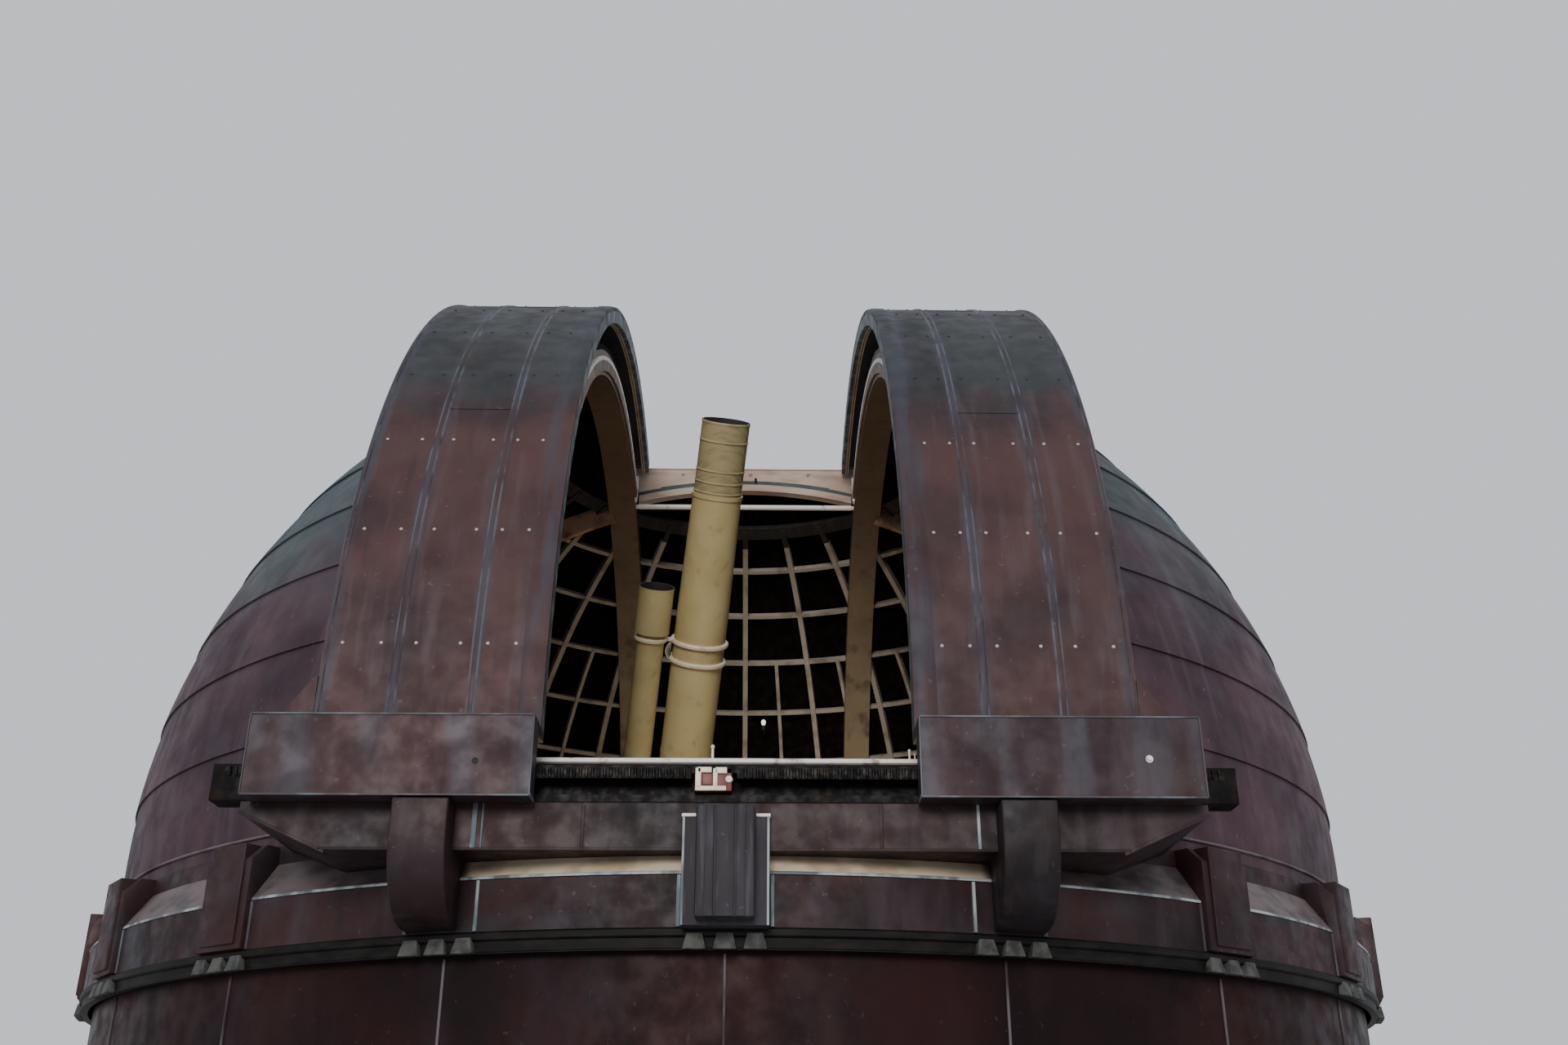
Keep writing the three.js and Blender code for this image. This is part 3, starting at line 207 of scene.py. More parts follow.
wall_plaster = new_finish("wall_plaster", (0.42, 0.39, 0.34), 0.92)
paint(wall_plaster, tint(wall_plaster, grain(wall_plaster, 1.6), (0.34, 0.31, 0.27), (0.50, 0.47, 0.42)))
relief(wall_plaster, grain(wall_plaster, 45), 0.25, 0.01)
drum_wall = draw_profile("drum_wall", [(4.300, 0, 0), (4.598, 0, 0), (4.598, 0, 2.990), (4.300, 0, 2.990)])
spin_profile()
fit(drum_wall, wall_plaster, "concrete", "building")

floor_screed = new_finish("floor_screed", (0.36, 0.35, 0.33), 0.85)
paint(
    floor_screed,
    tint(floor_screed, between(floor_screed, grain(floor_screed, 0.9), 0.35, 0.7), (0.27, 0.26, 0.24), (0.40, 0.39, 0.36)),
    between(floor_screed, grain(floor_screed, 5), 0.3, 0.8, 0.6, 0.95),
)
relief(floor_screed, grain(floor_screed, 80), 0.2, 0.005)
floor = draw_profile("drum_floor", [(0, 0, 0.001), (4.2998, 0, 0.001), (4.2998, 0, 0.112), (4.292, 0, 0.12), (0, 0, 0.12)], False)
spin_profile()
fit(floor, floor_screed, "concrete", "building", "floor_slab")


# The drum's copper
# Tall sheets, lapped one course over the next, their edges standing in narrow battens under the pilasters.
# The copper has darkened to a reddish brown, with rain streaks and small pale specks.
def round_place(finish, height_scale):
    """Coordinates that run round the dome's axis, so that streaks fall down its sides."""
    place = add_node(finish, "ShaderNodeTexCoord")
    flat = add_node(finish, "ShaderNodeVectorMath", operation="MULTIPLY")
    flat.inputs[1].default_value = (1, 1, 0)
    unit = add_node(finish, "ShaderNodeVectorMath", operation="NORMALIZE")
    rise = add_node(finish, "ShaderNodeVectorMath", operation="MULTIPLY")
    rise.inputs[1].default_value = (0, 0, height_scale)
    total = add_node(finish, "ShaderNodeVectorMath", operation="ADD")
    feed(finish, place.outputs["Object"], flat.inputs[0])
    feed(finish, flat.outputs["Vector"], unit.inputs[0])
    feed(finish, place.outputs["Object"], rise.inputs[0])
    feed(finish, unit.outputs["Vector"], total.inputs[0])
    feed(finish, rise.outputs["Vector"], total.inputs[1])
    return total.outputs["Vector"]


def round_streaks(finish, scale, height_scale=0.03, detail=5.0):
    noise = add_node(finish, "ShaderNodeTexNoise")
    noise.inputs["Scale"].default_value = scale
    noise.inputs["Detail"].default_value = detail
    feed(finish, round_place(finish, height_scale), noise.inputs["Vector"])
    return noise.outputs["Fac"]


def height_of(finish):
    place = add_node(finish, "ShaderNodeTexCoord")
    split = add_node(finish, "ShaderNodeSeparateXYZ")
    feed(finish, place.outputs["Object"], split.inputs["Vector"])
    return split.outputs["Z"]


def times(finish, first, second):
    product = add_node(finish, "ShaderNodeMath", operation="MULTIPLY")
    feed(finish, first, product.inputs[0])
    feed(finish, second, product.inputs[1])
    return product.outputs["Value"]


def plus(finish, first, second, amount):
    total = add_node(finish, "ShaderNodeMath", operation="MULTIPLY_ADD")
    feed(finish, second, total.inputs[0])
    total.inputs[1].default_value = amount
    feed(finish, first, total.inputs[2])
    return total.outputs["Value"]


def weather(finish, streaks, base, dark, pale, speck):
    """Brown copper: blotches, streaks where rain has run, and small specks."""
    blotch = between(finish, grain(finish, 1.3, detail=6.0), 0.35, 0.68)
    colour = tint(finish, blotch, base, dark)
    colour = tint(finish, between(finish, streaks, 0.50, 0.72, 0.0, 0.55), colour, pale)
    colour = tint(finish, between(finish, streaks, 0.42, 0.24, 0.0, 0.6), colour, dark)
    specks = between(finish, grain(finish, 26, detail=2.0), 0.68, 0.76, 0.0, 0.35)
    colour = tint(finish, specks, colour, speck)
    return colour


drum_copper = new_finish("drum_copper", (0.02, 0.006, 0.006), 0.55, 0.2, 0.12)
drum_streaks = round_streaks(drum_copper, 14, 0.04)
paint(
    drum_copper,
    tint(
        drum_copper,
        between(drum_copper, round_streaks(drum_copper, 9, 0.12), 0.56, 0.74, 0.0, 0.6),
        weather(drum_copper, drum_streaks, (0.021, 0.0055, 0.0058), (0.008, 0.0040, 0.0045), (0.026, 0.0115, 0.012), (0.06, 0.045, 0.045)),
        (0.019, 0.017, 0.024),
    ),
    between(drum_copper, grain(drum_copper, 7), 0.3, 0.75, 0.42, 0.66),
)
relief(drum_copper, grain(drum_copper, 2.2, detail=2.0), 0.3, 0.02)
cladding_steps = [(4.5985, 0.0), (4.608, 0.0), (4.603, 0.87), (4.609, 0.87), (4.604, 1.77), (4.610, 1.77), (4.606, 2.985), (4.5985, 2.985)]
cladding = draw_profile("drum_cladding", [(r, 0, z) for r, z in cladding_steps])
spin_profile()
fit(cladding, drum_copper, "drum_copper", "building", *[f"drum_wall_{i}" for i in range(1, 6)])


def block(name, low, high, edge=0.004, segments=2):
    """A block between two corners, its edges eased with the bevel tool."""
    bpy.ops.object.select_all(action="DESELECT")
    middle = [(a + b) / 2 for a, b in zip(low, high)]
    bpy.ops.mesh.primitive_cube_add(size=1, location=middle)
    piece = bpy.context.object
    piece.name = piece.data.name = name
    piece.scale = [b - a for a, b in zip(low, high)]
    bpy.ops.object.transform_apply(location=True, rotation=True, scale=True)
    if edge:
        bpy.ops.object.mode_set(mode="EDIT")
        bpy.ops.mesh.select_all(action="SELECT")
        bpy.ops.mesh.bevel(offset=edge, segments=segments, affect="EDGES")
        bpy.ops.object.mode_set(mode="OBJECT")
    return piece


def unite(name, pieces):
    bpy.ops.object.select_all(action="DESELECT")
    for piece in pieces:
        piece.select_set(True)
    bpy.context.view_layer.objects.active = pieces[0]
    bpy.ops.object.transform_apply(location=True, rotation=True, scale=True)
    if len(pieces) > 1:
        bpy.ops.object.join()
    joined = bpy.context.object
    joined.name = joined.data.name = name
    return joined


def lay_copies(pattern, name, places):
    """Copies one finished pattern to each place, each with its own mesh, and joins the copies."""
    laid = []
    for place in places:
        bpy.ops.object.select_all(action="DESELECT")
        pattern.select_set(True)
        bpy.context.view_layer.objects.active = pattern
        bpy.ops.object.duplicate(linked=False)
        copy = bpy.context.object
        copy.matrix_world = place
        laid.append(copy)
    bpy.data.objects.remove(pattern)
    return unite(name, laid)


def turned_to(degrees):
    return Matrix.Rotation(math.radians(degrees), 4, "Z")


seam_verdigris = new_finish("seam_verdigris", (0.20, 0.22, 0.24), 0.6, 0.2)
paint(
    seam_verdigris,
    tint(seam_verdigris, between(seam_verdigris, grain(seam_verdigris, 5, (1, 1, 0.3)), 0.4, 0.62), (0.050, 0.044, 0.050), (0.105, 0.125, 0.145)),
)
batten = block("drum_batten", (-0.007, -4.616, 0), (0.007, -4.602, 2.660), 0.003)
battens = lay_copies(batten, "drum_battens", [turned_to(18 * bay) for bay in range(20)])
batten_pink = new_finish("batten_pink", (0.09, 0.07, 0.078), 0.6, 0.1, 0.25)
paint(batten_pink, tint(batten_pink, between(batten_pink, grain(batten_pink, 4, (1, 1, 0.4)), 0.4, 0.62), (0.030, 0.018, 0.020), (0.105, 0.085, 0.095)))
fit(battens, batten_pink, "drum_copper", "building")

# The roller track
# A flanged steel rail on the wall's head, with ten steel rollers in it that carry the dome's base ring.
# The rail is rolled to a circle, and the rollers are turned with a flange at each side.
greased_steel = new_finish("greased_steel", (0.005, 0.0045, 0.0045), 0.6, 0.0, 0.1)
paint(
    greased_steel,
    tint(greased_steel, between(greased_steel, grain(greased_steel, 9), 0.45, 0.7), (0.0035, 0.003, 0.003), (0.0115, 0.0085, 0.0065)),
    between(greased_steel, grain(greased_steel, 20), 0.3, 0.7, 0.4, 0.7),
)
track_steps = [(4.336, 2.9903), (4.556, 2.9903), (4.556, 3.050), (4.520, 3.050), (4.510, 3.0264), (4.382, 3.0264), (4.372, 3.050), (4.336, 3.050)]
track = draw_profile("roller_rail", [(r, 0, z) for r, z in track_steps])
spin_profile()
fit(track, greased_steel, "rail_steel", "building", "roller_track")
axle_z = 3.128
roller_steps = [(0, -4.401), (0.03, -4.401), (0.034, -4.405), (0.07, -4.405), (0.075, -4.401), (0.1016, -4.401), (0.1016, -4.491), (0.075, -4.491), (0.07, -4.487), (0.034, -4.487), (0.03, -4.491), (0, -4.491)]
roller = draw_profile("roller", [(0, y, axle_z + r) for r, y in roller_steps], False)
spin_profile(steps=32, axis=(0, 1, 0), centre=(0, 0, axle_z))
rollers = lay_copies(roller, "track_rollers", [turned_to(36 * (i + 0.25)) for i in range(10)])
fit(rollers, greased_steel, "rail_steel", "building")

# The pier and the polar housing
# A square masonry pier carries a leaning cast-iron column, bolted down by its flange.
# The column holds the inclined housing of the polar axis, in dark grey-green paint.
mount_place = Matrix.Translation((0, 0, centre_z)) @ turned_to(11.8)
pier_stone = new_finish("pier_stone", (0.30, 0.28, 0.25), 0.9)
paint(
    pier_stone,
    tint(pier_stone, between(pier_stone, grain(pier_stone, 2.5, detail=8.0), 0.35, 0.7), (0.20, 0.185, 0.165), (0.38, 0.36, 0.33)),
)
relief(pier_stone, grain(pier_stone, 38, detail=6.0), 0.5, 0.01)
pier = block("pier_masonry", (-0.45, -1.321, -3.6297), (0.45, -0.421, -2.0), 0.018, 3)
pier.matrix_world = mount_place
fit(unite("pier_masonry", [pier]), pier_stone, "concrete", "building", "pier_base")

mount_iron = new_finish("mount_iron", (0.07, 0.08, 0.065), 0.5, 0.2)
paint(
    mount_iron,
    tint(mount_iron, between(mount_iron, grain(mount_iron, 6, detail=6.0), 0.5, 0.75), (0.062, 0.070, 0.058), (0.13, 0.125, 0.10)),
    between(mount_iron, grain(mount_iron, 14), 0.3, 0.7, 0.4, 0.62),
)
relief(mount_iron, grain(mount_iron, 60), 0.15, 0.004)


def turn_along(name, stations, start, direction, steps=64):
    """Turns a cross-section, given as radius and distance along a line, about that line in the mount."""
    piece = draw_profile(name, [(r, 0, t) for r, t in stations], False)
    spin_profile(steps=steps)
    lean = Vector((0, 0, 1)).rotation_difference(Vector(direction)).to_matrix().to_4x4()
    piece.matrix_world = mount_place @ Matrix.Translation(start) @ lean
    return unite(name, [piece])


polar_direction = (0, math.cos(math.radians(34)), math.sin(math.radians(34)))
mount_centre = Vector((0, 0, 0.040))
housing = turn_along(
    "polar_housing_casting",
    [(0, -0.9), (0.118, -0.9), (0.128, -0.894), (0.156, -0.845), (0.160, -0.83), (0.160, -0.79), (0.148, -0.775), (0.148, -0.33),
     (0.160, -0.315), (0.160, -0.206), (0.154, -0.200), (0, -0.200)],
    mount_centre,
    polar_direction,
)
fit(housing, mount_iron, "mount_iron", "building", "polar_housing")
column_foot = Vector((0, -0.871, -2.0))
column_line = Vector((0, -0.650, -0.420)) - column_foot
shaft = turn_along(
    "column_shaft",
    [(0, 0.02), (0.235, 0.02), (0.228, 0.06), (0.204, 0.11), (0.195, 0.16), (0.172, column_line.length - 0.16), (0.180, column_line.length - 0.10),
     (0.180, column_line.length - 0.03), (0, column_line.length - 0.03)],
    column_foot,
    column_line.normalized(),
)
flange = block("column_flange", (-0.31, -1.181, -1.9997), (0.31, -0.561, -1.94), 0.012, 3)
flange.matrix_world = mount_place
studs = draw_profile("column_stud", [(0, 0, 0), (0.026, 0, 0), (0.026, 0, 0.018), (0.013, 0, 0.022), (0.013, 0, 0.042), (0, 0, 0.045)], False)
spin_profile(steps=6)
studs = lay_copies(
    studs,
    "column_studs",
    [mount_place @ Matrix.Translation((x, y, -1.941)) for x in (-0.26, 0.26) for y in (-1.131, -0.611)],
)
column = unite("column_casting", [shaft, unite("flange", [flange]), studs])
fit(column, mount_iron, "mount_iron", "building", "pier_column")

# The axes of the mount
# The declination housing turns on the polar axis; on it turn the cradle that grips the tube and, opposite, the counterweight.
# Castings in the same dark grey-green, with turned collars where they meet.
across = (1, 0, 0)
crosshead = turn_along(
    "declination_casting",
    [(0, -0.214), (0.122, -0.214), (0.130, -0.206), (0.130, -0.165), (0.118, -0.150), (0.118, 0.150), (0.130, 0.165), (0.130, 0.214),
     (0.112, 0.235), (0.100, 0.46), (0.0975, 0.480), (0, 0.480)],
    mount_centre,
    across,
)
collar = turn_along(
    "polar_collar",
    [(0, -0.1995), (0.146, -0.1995), (0.150, -0.195), (0.150, -0.125), (0.140, -0.110), (0, -0.110)],
    mount_centre,
    polar_direction,
)
fit(unite("declination_casting", [crosshead, collar]), mount_iron, "mount_iron", "polar_axis", "declination_housing")
weight = turn_along(
    "counterweight_discs",
    [(0, 0.4805), (0.045, 0.4805), (0.045, 0.556), (0.058, 0.560), (0.238, 0.560), (0.250, 0.572), (0.250, 0.672), (0.243, 0.679),
     (0.250, 0.686), (0.250, 0.788), (0.238, 0.800), (0.060, 0.800), (0.056, 0.835), (0.045, 0.84), (0.045, 0.892), (0.037, 0.9), (0, 0.9)],
    mount_centre,
    across,
)
fit(weight, mount_iron, "mount_iron", "telescope", "counterweight")

tube_direction = Vector((0, -math.cos(math.radians(54.7)), math.sin(math.radians(54.7))))
tube_start = mount_centre + Vector((-0.5666, 0, 0))
guide_start = tube_start + Vector((-0.3798, 0, 0))
tube_tilt = Vector((0, 0, 1)).rotation_difference(tube_direction).to_matrix().to_4x4()
saddle_half = [(-0.2145, 0.15), (-0.245, 0.15), (-0.300, 0.17), (-0.345, 0.285), (-0.365, 0.31), (-0.412, 0.31)]
saddle_outline = saddle_half + [(x, -t) for x, t in reversed(saddle_half)]
saddle = draw_profile("tube_saddle", [(x, -0.125, t) for x, t in saddle_outline])
bpy.ops.mesh.edge_face_add()
bpy.ops.mesh.extrude_region_move(TRANSFORM_OT_translate={"value": (0, 0.25, 0)})
bpy.ops.mesh.select_all(action="SELECT")
bpy.ops.mesh.normals_make_consistent(inside=False)
bpy.ops.mesh.bevel(offset=0.006, segments=2, affect="EDGES")
bpy.ops.object.mode_set(mode="OBJECT")
saddle.matrix_world = mount_place @ Matrix.Translation(mount_centre) @ tube_tilt
saddle = unite("tube_saddle", [saddle])
straps = []
for station in (-0.30, 0.245):
    strap = turn_along(
        "saddle_strap",
        [(0.2003, station), (0.226, station), (0.230, station + 0.006), (0.230, station + 0.049), (0.226, station + 0.055), (0.2003, station + 0.055), (0.2003, station)],
        tube_start,
        tube_direction,
    )
    straps.append(strap)
fit(unite("tube_saddle", [saddle, *straps]), mount_iron, "mount_iron", "telescope", "tube_cradle")

# The telescope
# A long riveted tube of sheet steel, tapering to a collar where the dew cap starts, in olive-buff enamel worn at the joints.
# Beside it runs the guide telescope, held by two cream rings whose arms reach across.
tube_enamel = new_finish("tube_enamel", (0.42, 0.33, 0.18), 0.42, 0.0)
tube_enamel.node_tree.nodes["Principled BSDF"].inputs["Coat Weight"].default_value = 0.15
paint(
    tube_enamel,
    tint(
        tube_enamel,
        between(tube_enamel, grain(tube_enamel, 16, (1, 1, 0.12), 5.0), 0.55, 0.8, 0.0, 0.7),
        tint(tube_enamel, between(tube_enamel, grain(tube_enamel, 2.2), 0.3, 0.7), (0.44, 0.35, 0.155), (0.56, 0.45, 0.225)),
        (0.31, 0.225, 0.10),
    ),
    between(tube_enamel, grain(tube_enamel, 11), 0.3, 0.7, 0.34, 0.55),
)
tube_stations = [(0, -1.3), (0.194, -1.3), (0.200, -1.294), (0.200, -0.42), (0.2035, -0.418), (0.2035, -0.39), (0.200, -0.388), (0.200, 1.16), (0.2025, 1.162),
                 (0.2025, 1.19), (0.200, 1.192), (0.200, 2.300), (0.187, 3.188), (0.187, 3.216), (0.194, 3.219), (0.194, 3.2465), (0, 3.2465)]
main_tube = turn_along("main_tube_sheet", tube_stations, tube_start, tube_direction, 96)
fit(main_tube, tube_enamel, "tube_paint", "telescope", "main_tube")

dew_cap_enamel = new_finish("dew_cap_enamel", (0.32, 0.26, 0.15), 0.5)
paint(
    dew_cap_enamel,
    tint(
        dew_cap_enamel,
        between(dew_cap_enamel, grain(dew_cap_enamel, 12, (0.5, 0.5, 3.0), 5.0), 0.45, 0.7, 0.0, 0.75),
        (0.37, 0.30, 0.155),
        (0.24, 0.19, 0.10),
    ),
    between(dew_cap_enamel, grain(dew_cap_enamel, 20), 0.3, 0.7, 0.42, 0.65),
)
cap_stations = [(0, 3.247), (0.183, 3.247)]
for ring in (3.263, 3.340, 3.430, 3.653):
    cap_stations += [(0.1815, ring - 0.004), (0.1865, ring), (0.1865, ring + 0.008), (0.1815, ring + 0.012)]
cap_stations += [(0.1815, 3.788), (0.1845, 3.791), (0.1845, 3.803), (0.182, 3.807), (0.172, 3.807), (0.170, 3.803), (0.170, 3.408), (0.160, 3.393), (0.160, 3.388), (0, 3.388)]
def tone(piece, finish, chosen):
    """Gives another finish to the faces that a test picks by their middle and normal."""
    piece.data.materials.append(finish)
    number = len(piece.data.materials) - 1
    for face in piece.data.polygons:
        if chosen(face.center, face.normal):
            face.material_index = number


def off_axis(point, start):
    """How far a point lies from a tube's centre line, and how far up it."""
    along = mount_place.to_3x3() @ tube_direction
    reach = point - mount_place @ start
    return (reach - along * reach.dot(along)).length, reach.dot(along)


mouth_black = new_finish("mouth_black", (0.010, 0.010, 0.010), 0.8)
paint(mouth_black, tint(mouth_black, grain(mouth_black, 12), (0.006, 0.006, 0.006), (0.016, 0.015, 0.014)))


def blacken_mouth(piece, finish, start, bore, rim):
    """The inside of a tube's mouth and its rim are blacked, so that no light strays."""
    piece.data.materials.append(finish)
    tone(piece, mouth_black, lambda middle, normal: off_axis(middle, start)[0] < bore and off_axis(middle, start)[1] > rim - 0.45)


dew_cap = turn_along("dew_cap_sheet", cap_stations, tube_start, tube_direction, 96)
blacken_mouth(dew_cap, dew_cap_enamel, tube_start, 0.1775, 3.807)
fit(dew_cap, dew_cap_enamel, "dew_cap_paint", "telescope", "dew_cap")

lens_glass = new_finish("lens_glass", (0.012, 0.016, 0.024), 0.06)
lens_glass.node_tree.nodes["Principled BSDF"].inputs["Coat Weight"].default_value = 0.6
paint(lens_glass, tint(lens_glass, grain(lens_glass, 3), (0.010, 0.014, 0.022), (0.020, 0.022, 0.034)))
lens = turn_along("objective_lens", [(0.158, 3.390), (0.158, 3.396), (0.12, 3.4035), (0.08, 3.4085), (0.04, 3.4115), (0, 3.4125)], tube_start, tube_direction)
fit(lens, lens_glass, "mount_iron", "telescope")

guide_stations = [(0, -0.9), (0.055, -0.9), (0.060, -0.895), (0.060, -0.752), (0.066, -0.748), (0.104, -0.674), (0.107, -0.668), (0.107, 0.98), (0.1095, 0.982),
                  (0.1095, 1.01), (0.107, 1.012), (0.107, 2.112), (0.124, 2.120), (0.137, 2.120), (0.137, 2.470), (0.1395, 2.472), (0.1395, 2.484), (0.127, 2.484),
                  (0.125, 2.480), (0.125, 2.26), (0.112, 2.25), (0.08, 2.256), (0.04, 2.260), (0, 2.261)]
guide_tube = turn_along("guide_tube_sheet", guide_stations, guide_start, tube_direction, 72)
blacken_mouth(guide_tube, tube_enamel, guide_start, 0.1335, 2.690)
fit(guide_tube, tube_enamel, "tube_paint", "telescope", "guide_tube")

tail_stations = [(0, -1.741), (0.044, -1.741), (0.050, -1.735), (0.050, -1.60), (0.056, -1.596), (0.056, -1.584), (0.094, -1.578), (0.100, -1.572), (0.100, -1.470),
                 (0.110, -1.458), (0.192, -1.368), (0.200, -1.355), (0.200, -1.3003), (0, -1.3003)]
tailpiece = turn_along("tailpiece_casting", tail_stations, tube_start, tube_direction, 72)
fit(tailpiece, mount_iron, "mount_iron", "telescope", "tailpiece")

ring_cream = new_finish("ring_cream", (0.72, 0.64, 0.46), 0.38)
paint(ring_cream, tint(ring_cream, between(ring_cream, grain(ring_cream, 9), 0.5, 0.75), (0.74, 0.66, 0.49), (0.55, 0.46, 0.30)))


def ring_round(start, station, bore, width, height=0.032):
    """A cast ring with rounded edges, round a line that starts at a point."""
    outer = bore + width
    profile = [(bore, station), (outer - 0.007, station), (outer, station + 0.008), (outer, station + height - 0.008), (outer - 0.007, station + height), (bore, station + height), (bore, station)]
    return turn_along("ring", profile, start, tube_direction)


def draw_slab(name, outline, reach):
    """Fills an outline, and extrudes it by a reach to a solid slab."""
    slab = draw_profile(name, outline)
    bpy.ops.mesh.edge_face_add()
    bpy.ops.mesh.extrude_region_move(TRANSFORM_OT_translate={"value": reach})
    bpy.ops.mesh.select_all(action="SELECT")
    bpy.ops.mesh.normals_make_consistent(inside=False)
    return slab


def ease_edges(width, segments=2):
    bpy.ops.mesh.select_all(action="SELECT")
    bpy.ops.mesh.bevel(offset=width, segments=segments, affect="EDGES")
    bpy.ops.object.mode_set(mode="OBJECT")


def beside_tube(piece):
    piece.matrix_world = mount_place @ Matrix.Translation(tube_start) @ tube_tilt
    return unite(piece.name, [piece])


arm = beside_tube(block("ring_arm", (-0.277, -0.026, 2.062), (-0.218, 0.026, 2.088), 0.007, 3))
upper_rings = [ring_round(tube_start, 2.059, 0.2003, 0.0257), ring_round(guide_start, 2.059, 0.1073, 0.0237)]
fit(unite("upper_ring_casting", [*upper_rings, arm]), ring_cream, "ring_paint", "telescope", "upper_clamp_ring")
bow = [(-0.216 - 0.044 * math.sin(math.radians(180) * i / 12) ** 0.7, 1.9135 + 0.1445 * i / 12) for i in range(13)]
link_line = bow + [(x + 0.013, t) for x, t in reversed(bow)]
link = draw_slab("ring_link", [(x, -0.014, t) for x, t in link_line], (0, 0.028, 0))
ease_edges(0.004)
link = beside_tube(link)
fit(unite("lower_ring_casting", [ring_round(tube_start, 1.913, 0.2003, 0.0257), link]), ring_cream, "ring_paint", "telescope", "lower_clamp_ring")

# The base ring and the belt
# A rolled steel ring runs on the rollers; the belt of sheet copper is fixed round it and hangs over the drum.
# The belt slopes out under the shell, drops as a skirt, and ends in a moulded band; rain has left its slope pale, and
# under the slit the slope carries painted light, much paler where the beam casts its shadow.


def up(*points):
    """Turns radius and height against the sphere's centre into points of a cross-section."""
    return [(r, 0, centre_z + z) for r, z in points]


def from_line(finish, line):
    """How far a point stands, across the slit, from a line on either side of the slit's middle."""
    place = add_node(finish, "ShaderNodeTexCoord")
    split = add_node(finish, "ShaderNodeSeparateXYZ")
    feed(finish, place.outputs["Object"], split.inputs["Vector"])
    aside = add_node(finish, "ShaderNodeMath", operation="ABSOLUTE")
    feed(finish, split.outputs["X"], aside.inputs[0])
    offset = add_node(finish, "ShaderNodeMath", operation="SUBTRACT")
    offset.inputs[1].default_value = line
    feed(finish, aside.outputs["Value"], offset.inputs[0])
    away = add_node(finish, "ShaderNodeMath", operation="ABSOLUTE")
    feed(finish, offset.outputs["Value"], away.inputs[0])
    return away.outputs["Value"]


base_ring = draw_profile("base_ring_steel", up((4.262, -0.520), (4.511, -0.520), (4.511, -0.4005), (4.262, -0.4005), (4.262, -0.424), (4.300, -0.434), (4.300, -0.486), (4.262, -0.497)))
spin_profile()
fit(base_ring, greased_steel, "rail_steel", "dome", "base_ring")

belt_copper = new_finish("belt_copper", (0.05, 0.03, 0.03), 0.55, 0.2, 0.25)
belt_streaks = round_streaks(belt_copper, 26, 0.05)
belt_colour = weather(belt_copper, belt_streaks, (0.034, 0.0125, 0.0135), (0.012, 0.0072, 0.0085), (0.044, 0.032, 0.038), (0.09, 0.08, 0.08))
paint(
    belt_copper,
    tint(belt_copper, between(belt_copper, round_streaks(belt_copper, 7, 0.3), 0.52, 0.72, 0.0, 0.55), belt_colour, (0.034, 0.037, 0.044)),
    between(belt_copper, grain(belt_copper, 9), 0.3, 0.75, 0.45, 0.72),
)
relief(belt_copper, grain(belt_copper, 4, detail=3.0), 0.25, 0.015)
belt_slope_patina_and_light = new_finish("belt_slope_patina_and_painted_light", (0.21, 0.19, 0.15), 0.6, 0.15)
facing = add_node(belt_slope_patina_and_light, "ShaderNodeSeparateXYZ")
feed(belt_slope_patina_and_light, add_node(belt_slope_patina_and_light, "ShaderNodeTexCoord").outputs["Object"], facing.inputs["Vector"])
in_front = between(belt_slope_patina_and_light, facing.outputs["Y"], -3.0, -4.0)
# Painted light: in front, between the corbels, the slope under the beam is painted far lighter, in place of the light
# that the beam's shadow keeps off.
painted_light_under_beam = times(belt_slope_patina_and_light, in_front, between(belt_slope_patina_and_light, from_line(belt_slope_patina_and_light, 0.0), 1.36, 1.30))
paint(
    belt_slope_patina_and_light,
    tint(
        belt_slope_patina_and_light,
        between(belt_slope_patina_and_light, round_streaks(belt_slope_patina_and_light, 22, 0.4), 0.42, 0.68),
        tint(belt_slope_patina_and_light, painted_light_under_beam, (0.118, 0.092, 0.090), (0.66, 0.54, 0.38)),
        tint(belt_slope_patina_and_light, painted_light_under_beam, (0.045, 0.034, 0.037), (0.42, 0.32, 0.21)),
    ),
)
belt_band_finish = new_finish("belt_band_patina", (0.009, 0.008, 0.007), 0.6, 0.1, 0.15)
paint(
    belt_band_finish,
    tint(
        belt_band_finish,
        between(belt_band_finish, round_streaks(belt_band_finish, 30, 0.6), 0.40, 0.66),
        (0.0045, 0.0042, 0.0036),
        (0.0105, 0.0098, 0.0086),
    ),
)
joint_pale = new_finish("joint_pale", (0.22, 0.26, 0.27), 0.6, 0.1, 0.25)
paint(joint_pale, tint(joint_pale, between(joint_pale, grain(joint_pale, 7, (1, 1, 0.4)), 0.4, 0.6), (0.10, 0.125, 0.135), (0.33, 0.38, 0.38)))
belt_steps = up(
    (4.512, -0.4005), (4.552, -0.4005), (4.552, -0.500), (4.690, -0.698), (4.695, -0.703), (4.695, -0.714), (4.690, -0.719), (4.690, -0.974),
    (4.704, -0.985), (4.704, -1.014), (4.698, -1.020), (4.684, -1.024), (4.682, -1.072), (4.688, -1.078), (4.688, -1.083), (4.640, -1.083), (4.630, -0.690), (4.512, -0.510),
)
belt = draw_profile("belt_sheet", belt_steps)
spin_profile(steps=180)
belt.data.materials.append(belt_copper)
tone(belt, belt_slope_patina_and_light, lambda middle, normal: math.hypot(middle.x, middle.y) > 4.56 and -0.715 < middle.z - centre_z < -0.500 and normal.z > 0.1)
tone(belt, joint_pale, lambda middle, normal: 4.688 < math.hypot(middle.x, middle.y) and -0.716 < middle.z - centre_z < -0.699)
tone(belt, belt_band_finish, lambda middle, normal: math.hypot(middle.x, middle.y) > 4.66 and middle.z - centre_z < -0.975)
fit(belt, belt_copper, "belt_copper", "dome")
bead = draw_profile("belt_bead", up((4.555, -0.334), (4.566, -0.334), (4.573, -0.329), (4.573, -0.322), (4.566, -0.317), (4.555, -0.317)))
spin_profile(steps=180)
